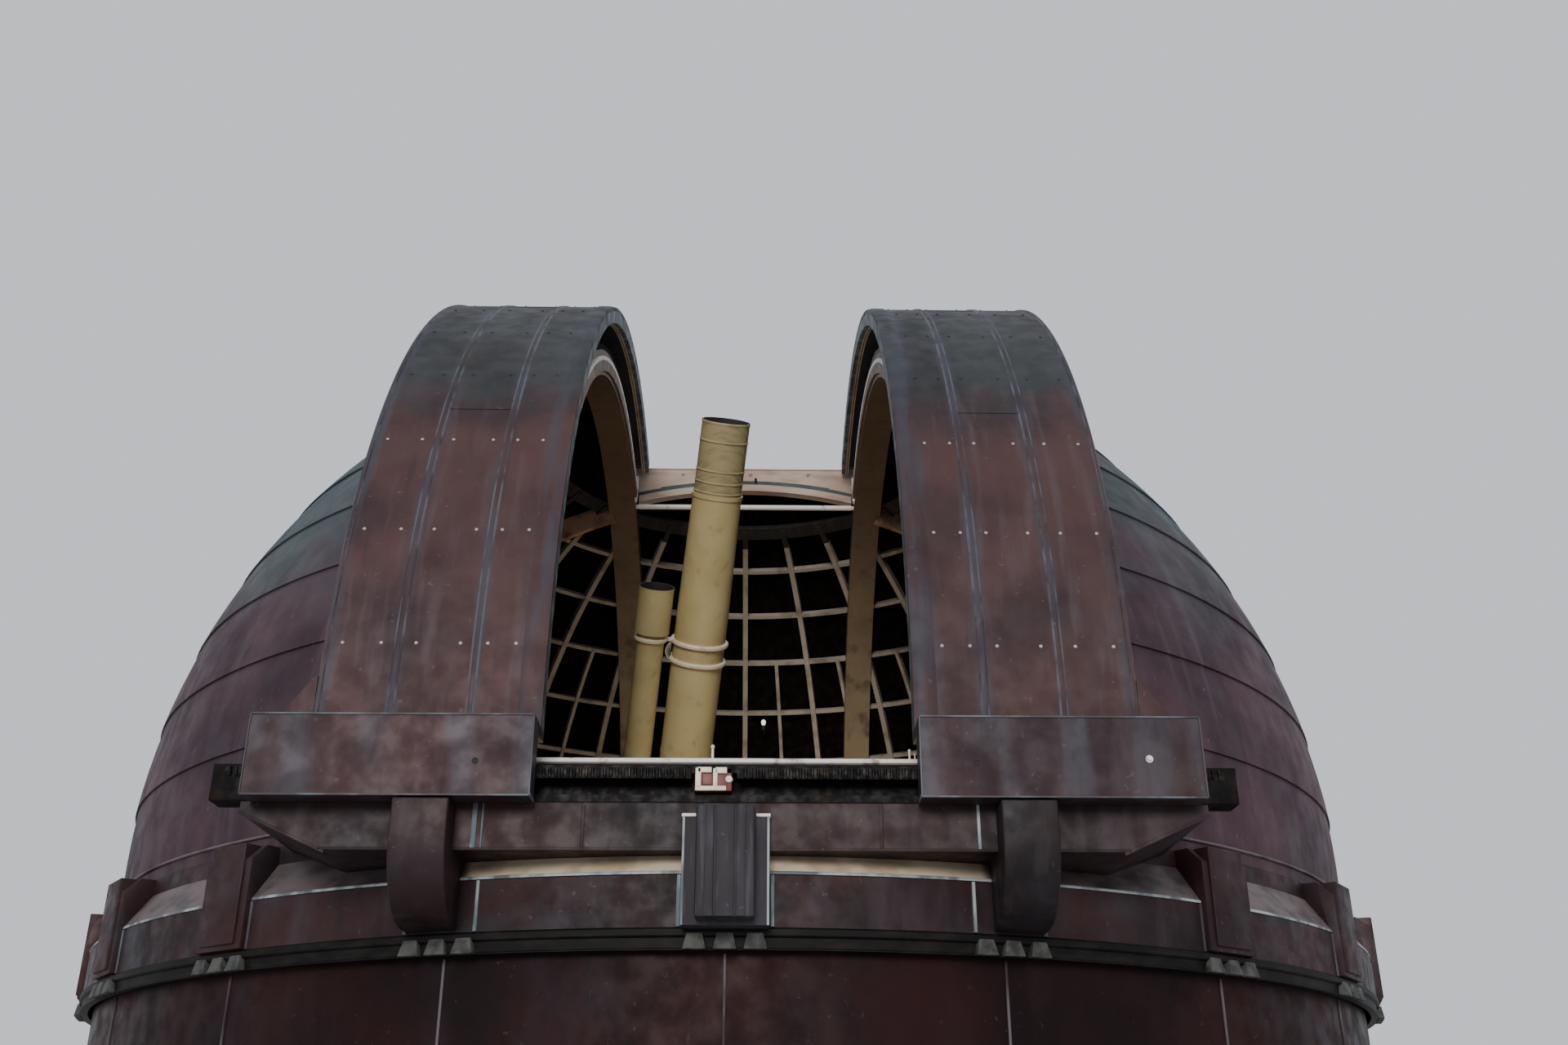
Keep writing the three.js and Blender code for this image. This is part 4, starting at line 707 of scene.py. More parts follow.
fit(bead, belt_slope_patina_and_light, "belt_copper", "dome")

# Pilasters and guttae
# Boxes of folded copper over a wider backing plate, one in each bay of the belt but the three under the slit.
# Below each bay three small drops hang under the band, and edging strips run down either side.


def hugging(half_width, front, bottom, top, chamfer=(0.0, 0.0)):
    """A side outline whose back follows the belt: sloping in at the shoulder, inside its sheet."""
    points = [(front, bottom), (front, top - chamfer[1]), (front + chamfer[0], top), (-4.535, top), (-4.535, -0.495), (-4.664, -0.685), (-4.664, bottom)]
    if not chamfer[0]:
        points.pop(2)
    return [(-half_width, y, centre_z + z) for y, z in points]


plate = draw_slab("pilaster_plate", hugging(0.195, -4.725, -0.972, -0.402, (0.09, 0.085)), (0.390, 0, 0))
ease_edges(0.005)
box_front = draw_slab("pilaster_box", hugging(0.145, -4.742, -0.945, -0.402), (0.290, 0, 0))
ease_edges(0.008, 3)
pilaster = unite("pilaster", [plate, box_front])
pilasters = lay_copies(pilaster, "belt_pilasters", [turned_to(18 * bay) for bay in range(2, 19)])
fit(pilasters, belt_copper, "belt_copper", "dome", *[f"belt_{i}" for i in range(1, 6)])

drop = block("gutta", (-0.039, -4.716, centre_z - 1.083), (0.039, -4.678, centre_z - 1.004), 0)
for vertex in drop.data.vertices:
    if vertex.co.z < centre_z - 1.05:
        vertex.co.x *= 1.5
        vertex.co.y -= 0.012 if vertex.co.y < -4.7 else 0
bpy.ops.object.mode_set(mode="EDIT")
ease_edges(0.004)
drops = lay_copies(drop, "belt_guttae", [turned_to(18 * bay + 1.82 * side) for bay in range(20) for side in (-1, 0, 1)])
gutta_grey = new_finish("gutta_grey", (0.06, 0.06, 0.055), 0.7, 0.0, 0.25)
paint(gutta_grey, tint(gutta_grey, between(gutta_grey, grain(gutta_grey, 14, detail=6.0), 0.35, 0.65), (0.026, 0.028, 0.026), (0.072, 0.074, 0.068)))
fit(drops, gutta_grey, "belt_copper", "dome")

edging = block("edging", (-0.011, -4.697, centre_z - 0.972), (0.011, -4.684, centre_z - 0.719), 0.003)
edgings = lay_copies(edging, "belt_edgings", [turned_to(18 * bay + (2.85 if bay == 0 else 2.42) * side) for bay in range(20) for side in (-1, 1)])
fit(edgings, seam_verdigris, "belt_copper", "dome")
edging = block("front_edging", (-0.008, -4.700, centre_z - 0.972), (0.008, -4.695, centre_z - 0.719), 0.001)
places = [turned_to(18 * bay + (2.85 if bay == 0 else 2.42) * side) for bay, side in ((-1, 1), (0, -1), (0, 1), (1, -1))]
fit(lay_copies(edging, "front_edgings", places), joint_pale, "belt_copper", "dome")

# The shell
# Courses of sheet copper, each lapped over the one below with its lower edge standing a little proud, on boards.
# Purple-brown low down with streaks that follow the rain, and a grey-green bloom higher up.
dome_copper = new_finish("dome_copper", (0.07, 0.04, 0.045), 0.55, 0.2, 0.25)
dome_streaks = round_streaks(dome_copper, 34, 0.02, 6.0)
dome_brown = weather(dome_copper, dome_streaks, (0.066, 0.033, 0.043), (0.030, 0.017, 0.024), (0.082, 0.060, 0.074), (0.14, 0.13, 0.14))
bloom_place = plus(dome_copper, height_of(dome_copper), grain(dome_copper, 0.9, detail=7.0), 2.6)
bloom = between(dome_copper, bloom_place, centre_z + 2.3, centre_z + 3.7, 0.0, 0.88)
bloom_colour = tint(dome_copper, between(dome_copper, grain(dome_copper, 2.4, (1, 1, 0.5), 6.0), 0.35, 0.68), (0.026, 0.040, 0.046), (0.050, 0.072, 0.078))
paint(
    dome_copper,
    tint(dome_copper, bloom, dome_brown, bloom_colour),
    between(dome_copper, grain(dome_copper, 6), 0.3, 0.75, 0.56, 0.78),
)
relief(dome_copper, grain(dome_copper, 1.8, detail=3.0), 0.25, 0.03)
lining_boards = new_finish("lining_boards", (0.008, 0.006, 0.005), 0.9, 0.0, 0.05)
paint(
    lining_boards,
    tint(lining_boards, between(lining_boards, round_streaks(lining_boards, 40, 0.3), 0.4, 0.7), (0.0025, 0.0020, 0.0018), (0.0075, 0.0058, 0.0046)),
)
shell_line = []
shell_line.append((math.sqrt(4.570**2 - 0.4**2), -0.4))
first_lap = math.radians(3.1)
course = math.radians(7.45)
lip = 0.014
start = math.asin(-0.4 / 4.570)
for lap in range(13):
    low = start if lap == 0 else first_lap + course * (lap - 1)
    high = min(first_lap + course * lap, math.radians(90))
    for part in range(5):
        if lap == 0 and part == 0:
            continue
        along = part / 4
        latitude = low + (high - low) * along
        radius = 4.572 - lip * along
        shell_line.append((radius * math.cos(latitude), radius * math.sin(latitude)))
shell_line[-1] = (0, shell_line[-1][1])
for part in range(31):
    latitude = math.radians(90) - (math.radians(90) - math.asin(-0.4 / 4.530)) * part / 30
    shell_line.append((4.530 * math.cos(latitude) if part else 0, 4.530 * math.sin(latitude)))
shell = draw_profile("shell_sheet", up(*shell_line))
spin_profile(steps=180)
shell.data.materials.append(dome_copper)
tone(shell, lining_boards, lambda middle, normal: (middle - Vector((0, 0, centre_z))).length < 4.545 and (middle - Vector((0, 0, centre_z))).dot(normal) < 0)


def keep_beyond(piece, point, normal):
    """Cuts a piece along a plane, keeps what lies on the normal's side, and closes the cut."""
    bpy.ops.object.select_all(action="DESELECT")
    piece.select_set(True)
    bpy.context.view_layer.objects.active = piece
    bpy.ops.object.mode_set(mode="EDIT")
    bpy.ops.mesh.select_all(action="SELECT")
    bpy.ops.mesh.bisect(plane_co=point, plane_no=normal, use_fill=True, clear_inner=True)
    bpy.ops.object.mode_set(mode="OBJECT")


def copy_of(piece, name):
    bpy.ops.object.select_all(action="DESELECT")
    piece.select_set(True)
    bpy.context.view_layer.objects.active = piece
    bpy.ops.object.duplicate(linked=False)
    twin = bpy.context.object
    twin.name = twin.data.name = name
    return twin


slit_half = 1.085
for name, cuts, node in (
    ("shell_left_sheet", [((-slit_half, 0, 0), (-1, 0, 0))], "shell_left"),
    ("shell_right_sheet", [((slit_half, 0, 0), (1, 0, 0))], "shell_right"),
    ("shell_rear_sheet", [((-slit_half, 0, 0), (1, 0, 0)), ((slit_half, 0, 0), (-1, 0, 0)), ((0, 1.3, 0), (0, 1, 0))], "shell_rear"),
    ("sill_wall_sheet", [((-slit_half, 0, 0), (1, 0, 0)), ((slit_half, 0, 0), (-1, 0, 0)), ((0, 0, 0), (0, -1, 0)), ((0, 0, centre_z - 0.1283), (0, 0, -1))], "sill_wall"),
):
    part = copy_of(shell, name)
    for point, normal in cuts:
        keep_beyond(part, point, normal)
    fit(part, dome_copper, "dome_copper", "dome", node, crease=25)
bpy.data.objects.remove(shell)

# The girders
# Two built-up steel arches stand either side of the slit, from the base ring over the top and down behind.
# They are painted a brownish buff; the coaming plate on each has a strip of white along its edge.
girder_buff = new_finish("girder_buff", (0.20, 0.155, 0.10), 0.6)
girder_faded = tint(girder_buff, between(girder_buff, grain(girder_buff, 1.6), 0.3, 0.7), (0.24, 0.185, 0.10), (0.17, 0.125, 0.07))
girder_stained = tint(girder_buff, between(girder_buff, grain(girder_buff, 7, (1, 1, 0.4), 6.0), 0.52, 0.74, 0.0, 0.85), girder_faded, (0.085, 0.050, 0.032))
girder_height = plus(girder_buff, height_of(girder_buff), grain(girder_buff, 1.1, detail=6.0), 1.2)
paint(
    girder_buff,
    tint(
        girder_buff,
        between(girder_buff, girder_height, centre_z + 3.1, centre_z + 4.6, 0.0, 0.75),
        girder_stained,
        (0.100, 0.055, 0.036),
    ),
    between(girder_buff, grain(girder_buff, 12), 0.3, 0.7, 0.5, 0.75),
)
chalk_white = new_finish("chalk_white", (0.72, 0.68, 0.62), 0.6)
paint(
    chalk_white,
    tint(
        chalk_white,
        between(chalk_white, grain(chalk_white, 11, detail=6.0), 0.55, 0.72, 0.0, 0.9),
        tint(chalk_white, grain(chalk_white, 2.0), (0.84, 0.80, 0.75), (0.70, 0.66, 0.62)),
        (0.25, 0.20, 0.17),
    ),
)


def arch(name, profile, low, high, steps):
    """Bends a cross-section, given across the slit and outwards, from one angle over the top to another."""
    tilt = math.radians(low)
    draw_profile(name, [(x, -r * math.cos(tilt), centre_z + r * math.sin(tilt)) for x, r in profile])
    spin_profile(high - low, steps, (1, 0, 0), (0, 0, centre_z))
    return bpy.context.object


def other_side(piece, name):
    """The mirrored twin of a piece across the slit, with its faces turned out again."""
    twin = copy_of(piece, name)
    twin.scale.x = -1
    bpy.ops.object.transform_apply(location=True, rotation=True, scale=True)
    bpy.ops.object.mode_set(mode="EDIT")
    bpy.ops.mesh.select_all(action="SELECT")
    bpy.ops.mesh.normals_make_consistent(inside=False)
    bpy.ops.object.mode_set(mode="OBJECT")
    return twin


girder_profile = [(1.0847, 4.200), (1.350, 4.200), (1.350, 4.216), (1.226, 4.218), (1.226, 4.300), (1.350, 4.305), (1.350, 4.3225), (1.0847, 4.3955)]
girder = arch("girder_arch", girder_profile, 0, 180, 120)
coaming = arch("coaming_plate", [(1.0647, 4.230), (1.085, 4.230), (1.085, 4.345), (1.0647, 4.345)], 0.5, 105.5, 84)
legs = [coaming]
for side in (-1, 1):
    leg = draw_slab("girder_leg", [(x, side * r, centre_z) for x, r in girder_profile], (0, 0, -0.4))
    bpy.ops.object.mode_set(mode="OBJECT")
    legs.append(leg)
right_girder = unite("right_girder_steel", [girder, *legs])
left_girder = other_side(right_girder, "left_girder_steel")
fit(right_girder, girder_buff, "girder_paint", "dome", "right_girder")
fit(left_girder, girder_buff, "girder_paint", "dome", "left_girder")
edge_strip = arch("coaming_strip", [(1.0650, 4.312), (1.0640, 4.315), (1.0640, 4.342), (1.0655, 4.3465), (1.0850, 4.3465), (1.0850, 4.3445), (1.0650, 4.3445)], 0.5, 105.5, 84)
end_strip = arch("coaming_end", [(1.0640, 4.200), (1.0845, 4.200), (1.0845, 4.503), (1.0640, 4.503)], 104.9, 105.5, 2)
right_strip = unite("right_coaming_strip", [edge_strip, end_strip])
left_strip = other_side(right_strip, "left_coaming_strip")
fit(right_strip, chalk_white, "white_paint", "dome")
fit(left_strip, chalk_white, "white_paint", "dome")

# The lattice inside the shell
# Flat steel ribs like meridians and purlins like parallels, bent to the sphere, and a deep ring beam near the top.
# They were painted a pale stone colour, now dusty, and the dark boards show between them; the ring beam and the rib
# tops beside it are near black, as painted shade under the closed roof.
lattice_stone = new_finish("lattice_stone", (0.30, 0.27, 0.22), 0.65)
paint(
    lattice_stone,
    tint(
        lattice_stone,
        between(lattice_stone, grain(lattice_stone, 5, detail=6.0), 0.45, 0.72, 0.0, 0.8),
        (0.31, 0.27, 0.215),
        (0.14, 0.11, 0.085),
    ),
)
beam_painted_shade = new_finish("ring_beam_dark", (0.016, 0.010, 0.009), 0.8)
paint(beam_painted_shade, tint(beam_painted_shade, between(beam_painted_shade, round_streaks(beam_painted_shade, 24, 0.4), 0.4, 0.7), (0.008, 0.006, 0.006), (0.026, 0.017, 0.014)))
bars = []
for azimuth_step in range(60):
    whole = azimuth_step % 2 == 0
    top = 65.5 if whole else 43.8
    width = 0.026 if whole else 0.018
    if azimuth_step in (0, 1, 59):
        continue
    rib = arch("lattice_rib", [(-width, 4.448), (width, 4.448), (width, 4.512), (-width, 4.512)], -5.0, top, 24)
    rib.matrix_world = turned_to(6 * azimuth_step)
    bars.append(rib)
for latitude, half in ((6.8, 0.02), (14.2, 0.02), (21.6, 0.02), (29.0, 0.021), (36.3, 0.02), (43.8, 0.02), (51.1, 0.02), (58.4, 0.021), (65.0, 0.075)):
    low, high = math.radians(latitude) - half / 4.518, math.radians(latitude) + half / 4.518
    section = [(4.462, low), (4.518, low), (4.518, high), (4.462, high)]
    purlin = draw_profile("purlin", up(*[(r * math.cos(a), r * math.sin(a)) for r, a in section]))
    spin_profile(steps=120)
    bars.append(purlin)
lattice = unite("lattice_bars", bars)
lattice.data.materials.append(lattice_stone)
# Painted shade: the ring beam and the tops of the ribs up there take a near-black finish, for the shadow under the
# closed roof.
tone(lattice, beam_painted_shade, lambda middle, normal: (middle.z - centre_z) > 4.45 * math.sin(math.radians(62.7)))
for name, cuts, node in (
    ("left_lattice_bars", [((-1.3503, 0, 0), (-1, 0, 0)), ((0, 0, centre_z - 0.399), (0, 0, 1))], "left_lattice"),
    ("right_lattice_bars", [((1.3503, 0, 0), (1, 0, 0)), ((0, 0, centre_z - 0.399), (0, 0, 1))], "right_lattice"),
    ("rear_lattice_bars", [((-1.084, 0, 0), (1, 0, 0)), ((1.084, 0, 0), (-1, 0, 0)), ((0, 1.37, 0), (0, 1, 0)), ((0, 0, centre_z - 0.399), (0, 0, 1))], "rear_lattice"),
):
    part = copy_of(lattice, name)
    for point, normal in cuts:
        keep_beyond(part, point, normal)
    fit(part, lattice_stone, "lattice_paint", "dome", node)
bpy.data.objects.remove(lattice)

side_arches = []
for side in (-1, 1):
    turn = math.radians(33.5 if side > 0 else -18.2)
    profile = [(1.3003, 4.135), (1.359, 4.135), (1.359, 4.318), (1.3003, 4.326)]
    side_arches.append(draw_profile("side_arch", [(r * math.sin(turn), y, centre_z + r * math.cos(turn)) for y, r in profile]))
    spin_profile(15.3, 16, (0, 1, 0), (0, 0, centre_z))
arch_brown = new_finish("arch_brown", (0.16, 0.085, 0.05), 0.65)
paint(
    arch_brown,
    tint(arch_brown, between(arch_brown, grain(arch_brown, 5, detail=6.0), 0.42, 0.66), (0.42, 0.24, 0.14), (0.14, 0.080, 0.050)),
)
fit(unite("lattice_side_arches", side_arches), arch_brown, "lattice_paint", "dome")

# The rear header
# Behind the slit an arched rib and a fascia board close the shell, in sun-faded pinkish buff paint.
# A white tie rod crosses under them, and the rail for the shutters' rear wheels stands behind.
fascia_buff = new_finish("fascia_buff", (0.50, 0.38, 0.29), 0.65)
paint(
    fascia_buff,
    tint(
        fascia_buff,
        between(fascia_buff, grain(fascia_buff, 6, (0.4, 1, 1.6), 6.0), 0.5, 0.74, 0.0, 0.8),
        tint(fascia_buff, between(fascia_buff, grain(fascia_buff, 2.0), 0.35, 0.7), (0.43, 0.335, 0.26), (0.35, 0.235, 0.175)),
        (0.20, 0.115, 0.075),
    ),
)
rib_turn = math.radians(15.2)
rib_section = [(1.3003, 4.2685), (1.359, 4.2500), (1.359, 4.3200), (1.3003, 4.3385)]
rear_rib = draw_profile("rear_rib", [(r * math.sin(rib_turn), y, centre_z + r * math.cos(rib_turn)) for y, r in rib_section])
spin_profile(30.4, 40, (0, 1, 0), (0, 0, centre_z))
keep_beyond(rear_rib, (-1.064, 0, 0), (1, 0, 0))
keep_beyond(rear_rib, (1.064, 0, 0), (-1, 0, 0))
fit(rear_rib, fascia_buff, "fascia_paint", "dome", "rear_arch_rib")


def shell_height(x, y, radius=4.562):
    return math.sqrt(max(radius**2 - x * x - y * y, 0))


fascia_line = [(-2.5, 4.505), (2.5, 4.505)] + [(x / 20, shell_height(x / 20, 1.3)) for x in range(50, -51, -2)]
fascia = draw_slab("fascia_board", [(x, 1.3005, centre_z + z) for x, z in fascia_line], (0, 0.018, 0))
bpy.ops.object.mode_set(mode="OBJECT")
fascia_cap = block("fascia_cap", (-2.502, 1.292, centre_z + 4.497), (2.502, 1.326, centre_z + 4.511), 0.004)
bolt = draw_profile("fascia_bolt", [(0, 1.3010, 0), (0.022, 1.3010, 0), (0.022, 1.290, 0), (0.010, 1.288, 0), (0.010, 1.276, 0), (0, 1.274, 0)], False)
spin_profile(steps=6, axis=(0, 1, 0))
bolts = lay_copies(bolt, "fascia_bolts", [Matrix.Translation((x, 0, centre_z + 4.452)) for x in (-0.63, 0.05, 0.63)])
hook = block("fascia_hook", (0.092, 1.262, centre_z + 4.376), (0.116, 1.301, centre_z + 4.392), 0.004)
hook_tip = block("fascia_hook_tip", (0.094, 1.262, centre_z + 4.350), (0.114, 1.274, centre_z + 4.390), 0.004)
fit(unite("fascia_hook", [hook, hook_tip]), greased_steel, "fascia_paint", "dome")
fascia = unite("fascia_board", [fascia, fascia_cap, bolts])
fit(fascia, fascia_buff, "fascia_paint", "dome", "rear_fascia")
rod = draw_profile("tie_rod_bar", [(-1.0845, 1.2725, 0), (-1.0845, 1.2525, 0), (-1.060, 1.2525, 0), (-1.058, 1.2475, 0), (1.058, 1.2475, 0), (1.060, 1.2525, 0), (1.0845, 1.2525, 0), (1.0845, 1.2725, 0)], False)
spin_profile(steps=32, axis=(1, 0, 0), centre=(0, 1.2725, 0))
rod.matrix_world = Matrix.Translation((0, 0, centre_z + 4.069))
fit(unite("tie_rod_bar", [rod]), chalk_white, "white_paint", "dome", "tie_rod")
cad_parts["rear_rail"].data.materials.clear()
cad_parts["rear_rail"].data.materials.append(greased_steel)

# The beam under the slit
# A tapered box beam of folded copper stands out under the slit and carries the front rail.
# Its lower edges and the joints between its sheets are covered by narrow strips, green where water sits.
front_copper = new_finish("front_copper", (0.05, 0.03, 0.03), 0.55, 0.2, 0.25)
front_streaks = grain(front_copper, 9, (1, 1, 0.12), 6.0)
paint(
    front_copper,
    tint(
        front_copper,
        between(front_copper, grain(front_copper, 1.7, detail=7.0), 0.52, 0.72, 0.0, 0.75),
        weather(front_copper, front_streaks, (0.032, 0.0155, 0.016), (0.012, 0.0085, 0.009), (0.044, 0.035, 0.040), (0.09, 0.08, 0.08)),
        (0.026, 0.027, 0.033),
    ),
    between(front_copper, grain(front_copper, 8), 0.3, 0.75, 0.45, 0.72),
)
relief(front_copper, grain(front_copper, 3, detail=3.0), 0.25, 0.012)
beam_back = [(4.545 * math.sin(a), -4.545 * math.cos(a)) for a in [math.asin(2.44 / 4.545) * (1 - i / 14) for i in range(29)]]
beam = draw_slab("beam_box", [(x, y, centre_z - 0.612) for x, y in [(-2.44, -4.760), (2.44, -4.760), *beam_back]], (0, 0, 0.240))
bpy.ops.object.mode_set(mode="OBJECT")
for side in (-1, 1):
    keep_beyond(beam, (side * 2.44, 0, centre_z - 0.432), (-side * 0.197, 0, 0.44))
beam_strips = [block("beam_edge", (-2.03, -4.766, centre_z - 0.617), (2.03, -4.752, centre_z - 0.601), 0.003)]
for side in (-1, 1):
    slant = block("beam_slant", (-0.246, -4.766, -0.014), (0.246, -4.752, 0.002), 0.003)
    slant.matrix_world = Matrix.Translation((side * 2.216, 0, centre_z - 0.522)) @ Matrix.Rotation(-side * math.atan2(0.197, 0.44), 4, "Y")
    beam_strips.append(unite("beam_slant", [slant]))
for x in (-0.72, 0.78):
    beam_strips.append(block("beam_lap", (x - 0.010, -4.763, centre_z - 0.602), (x + 0.010, -4.752, centre_z - 0.378), 0.003))
fit(unite("beam_box", [beam, *beam_strips]), front_copper, "belt_copper", "dome", "front_beam")
joints = [block("beam_joint", (x - w, -4.767, centre_z - 0.604), (x + w, -4.752, centre_z - 0.378), 0.003) for x, w in ((-1.262, 0.013), (-1.222, 0.005), (1.27, 0.008))]
fit(unite("beam_joints", joints), joint_pale, "belt_copper", "dome")

# Corbels and centre pilaster
# Two corbels with a rounded foot and a ridged centre pilaster stand proud of the belt and carry the beam.
# Each is folded from sheet copper over timber; the centre one has a wider plate behind it with cream-painted caps.
heel = -math.sqrt(4.690**2 - 1.36**2) - 0.030
corbel_line = [(-4.950, -0.395)]
for part in range(17):
    angle = math.radians(90) * part / 16
    corbel_line.append((-4.950 + (heel + 4.950) * (1 - math.cos(angle)), -0.962 + 0.400 * (1 - math.sin(angle))))
corbel_line += [(-4.452, -0.962), (-4.452, -0.70), (-4.352, -0.60), (-4.352, -0.395)]
right_corbel = draw_slab("right_corbel_sheet", [(1.36, y, centre_z + z) for y, z in corbel_line], (0.28, 0, 0))
bpy.ops.object.mode_set(mode="OBJECT")
for vertex in right_corbel.data.vertices:
    if vertex.co.x > 1.6 and vertex.co.y > -4.46 and vertex.co.z < centre_z - 0.65:
        vertex.co.y += 0.094
bpy.ops.object.select_all(action="DESELECT")
right_corbel.select_set(True)
bpy.context.view_layer.objects.active = right_corbel
soften = right_corbel.modifiers.new("eased", "BEVEL")
soften.width = 0.010
soften.segments = 3
soften.limit_method = "ANGLE"
soften.angle_limit = math.radians(50)
bpy.ops.object.modifier_apply(modifier="eased")
left_corbel = other_side(right_corbel, "left_corbel_sheet")
fit(right_corbel, front_copper, "belt_copper", "dome", "right_corbel")
fit(left_corbel, front_copper, "belt_copper", "dome", "left_corbel")

centre_box = draw_slab("centre_box", hugging(0.146, -4.928, -0.966, -0.417), (0.292, 0, 0))
ease_edges(0.020, 2)
ridges = [block("centre_ridge", (x - w, -4.936, centre_z - 0.962), (x + w, -4.920, centre_z - 0.421), 0.004) for x, w in ((-0.078, 0.022), (0.0, 0.044), (0.078, 0.022))]
side_plate = draw_slab("centre_plate", hugging(0.215, -4.806, -0.985, -0.454), (0.430, 0, 0))
ease_edges(0.006)
ridge_grey = new_finish("ridge_grey", (0.05, 0.048, 0.056), 0.6, 0.15, 0.25)
paint(
    ridge_grey,
    weather(ridge_grey, grain(ridge_grey, 30, (1, 1, 0.1), 6.0), (0.046, 0.042, 0.050), (0.024, 0.020, 0.025), (0.068, 0.070, 0.082), (0.11, 0.11, 0.12)),
)
fit(unite("centre_pilaster_sheet", [centre_box, *ridges, side_plate]), ridge_grey, "belt_copper", "dome", "centre_pilaster")
hems = [block("plate_hem", (side * 0.211 - 0.006, -4.811, centre_z - 0.984), (side * 0.211 + 0.006, -4.803, centre_z - 0.456), 0.002) for side in (-1, 1)]
fit(unite("centre_plate_hems", hems), joint_pale, "belt_copper", "dome")
caps = [block("plate_cap", (side * 0.186 - 0.036, -4.814, centre_z - 0.4545), (side * 0.186 + 0.036, -4.762, centre_z - 0.438), 0.004) for side in (-1, 1)]
fit(unite("centre_plate_caps", caps), chalk_white, "white_paint", "dome")

# The front rail and the shutters' drive
# A dark steel channel on the beam guides both shutters; a ribbed drive strip runs along its face.
# In the middle a small dark-red gearbox sits in a cream-painted bracket.
rail_line = [(-4.612, -0.3717), (-4.770, -0.3717), (-4.770, -0.335), (-4.758, -0.335), (-4.758, -0.352), (-4.660, -0.352), (-4.660, -0.212), (-4.758, -0.212),
             (-4.758, -0.222), (-4.770, -0.222), (-4.770, -0.185), (-4.612, -0.185)]
rail = draw_slab("front_rail_channel", [(-2.6, y, centre_z + z) for y, z in rail_line], (5.2, 0, 0))
bpy.ops.object.mode_set(mode="OBJECT")
rail_ends = [block("rail_end", (x - 0.140, -4.7735, centre_z - 0.3715), (x + 0.140, -4.614, centre_z - 0.1855), 0.004) for x in (-2.459, 2.459)]
fit(unite("front_rail_channel", [rail, *rail_ends]), greased_steel, "rail_steel", "dome", "front_rail")
strip_steel = new_finish("strip_steel", (0.012, 0.010, 0.009), 0.55, 0.2, 0.15)
paint(
    strip_steel,
    tint(strip_steel, between(strip_steel, grain(strip_steel, 24), 0.42, 0.66), (0.0035, 0.003, 0.003), (0.022, 0.018, 0.015)),
    between(strip_steel, grain(strip_steel, 30), 0.3, 0.7, 0.35, 0.7),
)
rib_of_strip = draw_slab(
    "strip_rib",
    [(0.009 * math.cos(a), -4.772 + 0.012 * math.sin(a), centre_z - 0.247) for a in [math.radians(-170 + 32 * i) for i in range(6)]],
    (0, 0, 0.046),
)
bpy.ops.object.mode_set(mode="OBJECT")
strip_places = [Matrix.Translation((0.031 * step, 0, 0)) for step in range(-81, 82) if step not in range(-6, 3)]
strip = lay_copies(rib_of_strip, "drive_strip_ribs", strip_places)
backing = [block("strip_back", (low, -4.774, centre_z - 0.252), (high, -4.762, centre_z - 0.194), 0.002) for low, high in ((-2.54, -0.18), (0.05, 2.54))]
fit(unite("drive_strip", [strip, *backing]), strip_steel, "rail_steel", "dome")
gear_red = new_finish("gear_red", (0.16, 0.025, 0.02), 0.5)
paint(gear_red, tint(gear_red, between(gear_red, grain(gear_red, 18), 0.45, 0.7), (0.17, 0.028, 0.022), (0.06, 0.015, 0.012)))
gear_case = block("gear_case", (-0.1645, -4.770, centre_z - 0.3145), (0.0245, -4.6535, centre_z - 0.1935), 0.006)
gear_face = block("gear_face", (-0.127, -4.780, centre_z - 0.288), (-0.073, -4.765, centre_z - 0.226), 0.005, 3)
fit(unite("gearbox_case", [gear_case, gear_face]), gear_red, "red_paint", "dome", "shutter_gearbox")
bracket_bars = [
    block(name, (x0, -4.783, centre_z + z0), (x1, -4.766, centre_z + z1), 0.004)
    for name, x0, z0, x1, z1 in (
        ("bracket_foot", -0.160, -0.315, -0.004, -0.290), ("bracket_left", -0.160, -0.300, -0.131, -0.196), ("bracket_head", -0.150, -0.222, -0.078, -0.193),
        ("bracket_post", -0.071, -0.296, -0.048, -0.200), ("bracket_wing", -0.060, -0.226, 0.000, -0.194),
    )
]
bracket_pin = draw_profile("bracket_pin", [(0.010, -4.780, 0), (0.010, -4.784, 0.008), (0.010, -4.784, 0.016), (0.010, -4.764, 0.020), (0.010, -4.764, 0)], False)
spin_profile(steps=20, axis=(0, 1, 0), centre=(0.010, 0, 0))
bracket_pin.matrix_world = Matrix.Translation((0, 0, centre_z - 0.255))
fit(unite("gearbox_bracket", [*bracket_bars, bracket_pin]), ring_cream, "white_paint", "dome")

# The sill of the slit
# A white-painted timber nosing lies along the foot of the slit, worn and stained along its top.
# A small post stands on it, and a clutch of fittings at its right end.
sill = block("sill_nosing", (-1.064, -4.600, centre_z - 0.128), (1.064, -4.500, centre_z - 0.096), 0.010, 3)
sill_lip = block("sill_lip", (-1.062, -4.606, centre_z - 0.124), (1.062, -4.592, centre_z - 0.104), 0.005)
fit(unite("sill_nosing", [sill, sill_lip]), chalk_white, "white_paint", "dome", "slit_sill")
post = draw_profile("sill_post", [(0, 0, -0.0965), (0.016, 0, -0.0965), (0.016, 0, -0.088), (0.007, 0, -0.084), (0.007, 0, -0.030), (0.011, 0, -0.024), (0.009, 0, -0.012), (0, 0, -0.008)], False)
spin_profile(steps=20)
fittings = [(-0.083, -4.540, 1.0), (0.955, -4.545, 0.75), (0.985, -4.530, 0.55), (1.02, -4.548, 0.85)]
posts = lay_copies(post, "sill_fittings", [Matrix.Translation((x, y, centre_z - 0.0965 + 0.0965 * s)) @ Matrix.Diagonal((s, s, s, 1)) for x, y, s in fittings])
fit(posts, ring_cream, "white_paint", "dome")

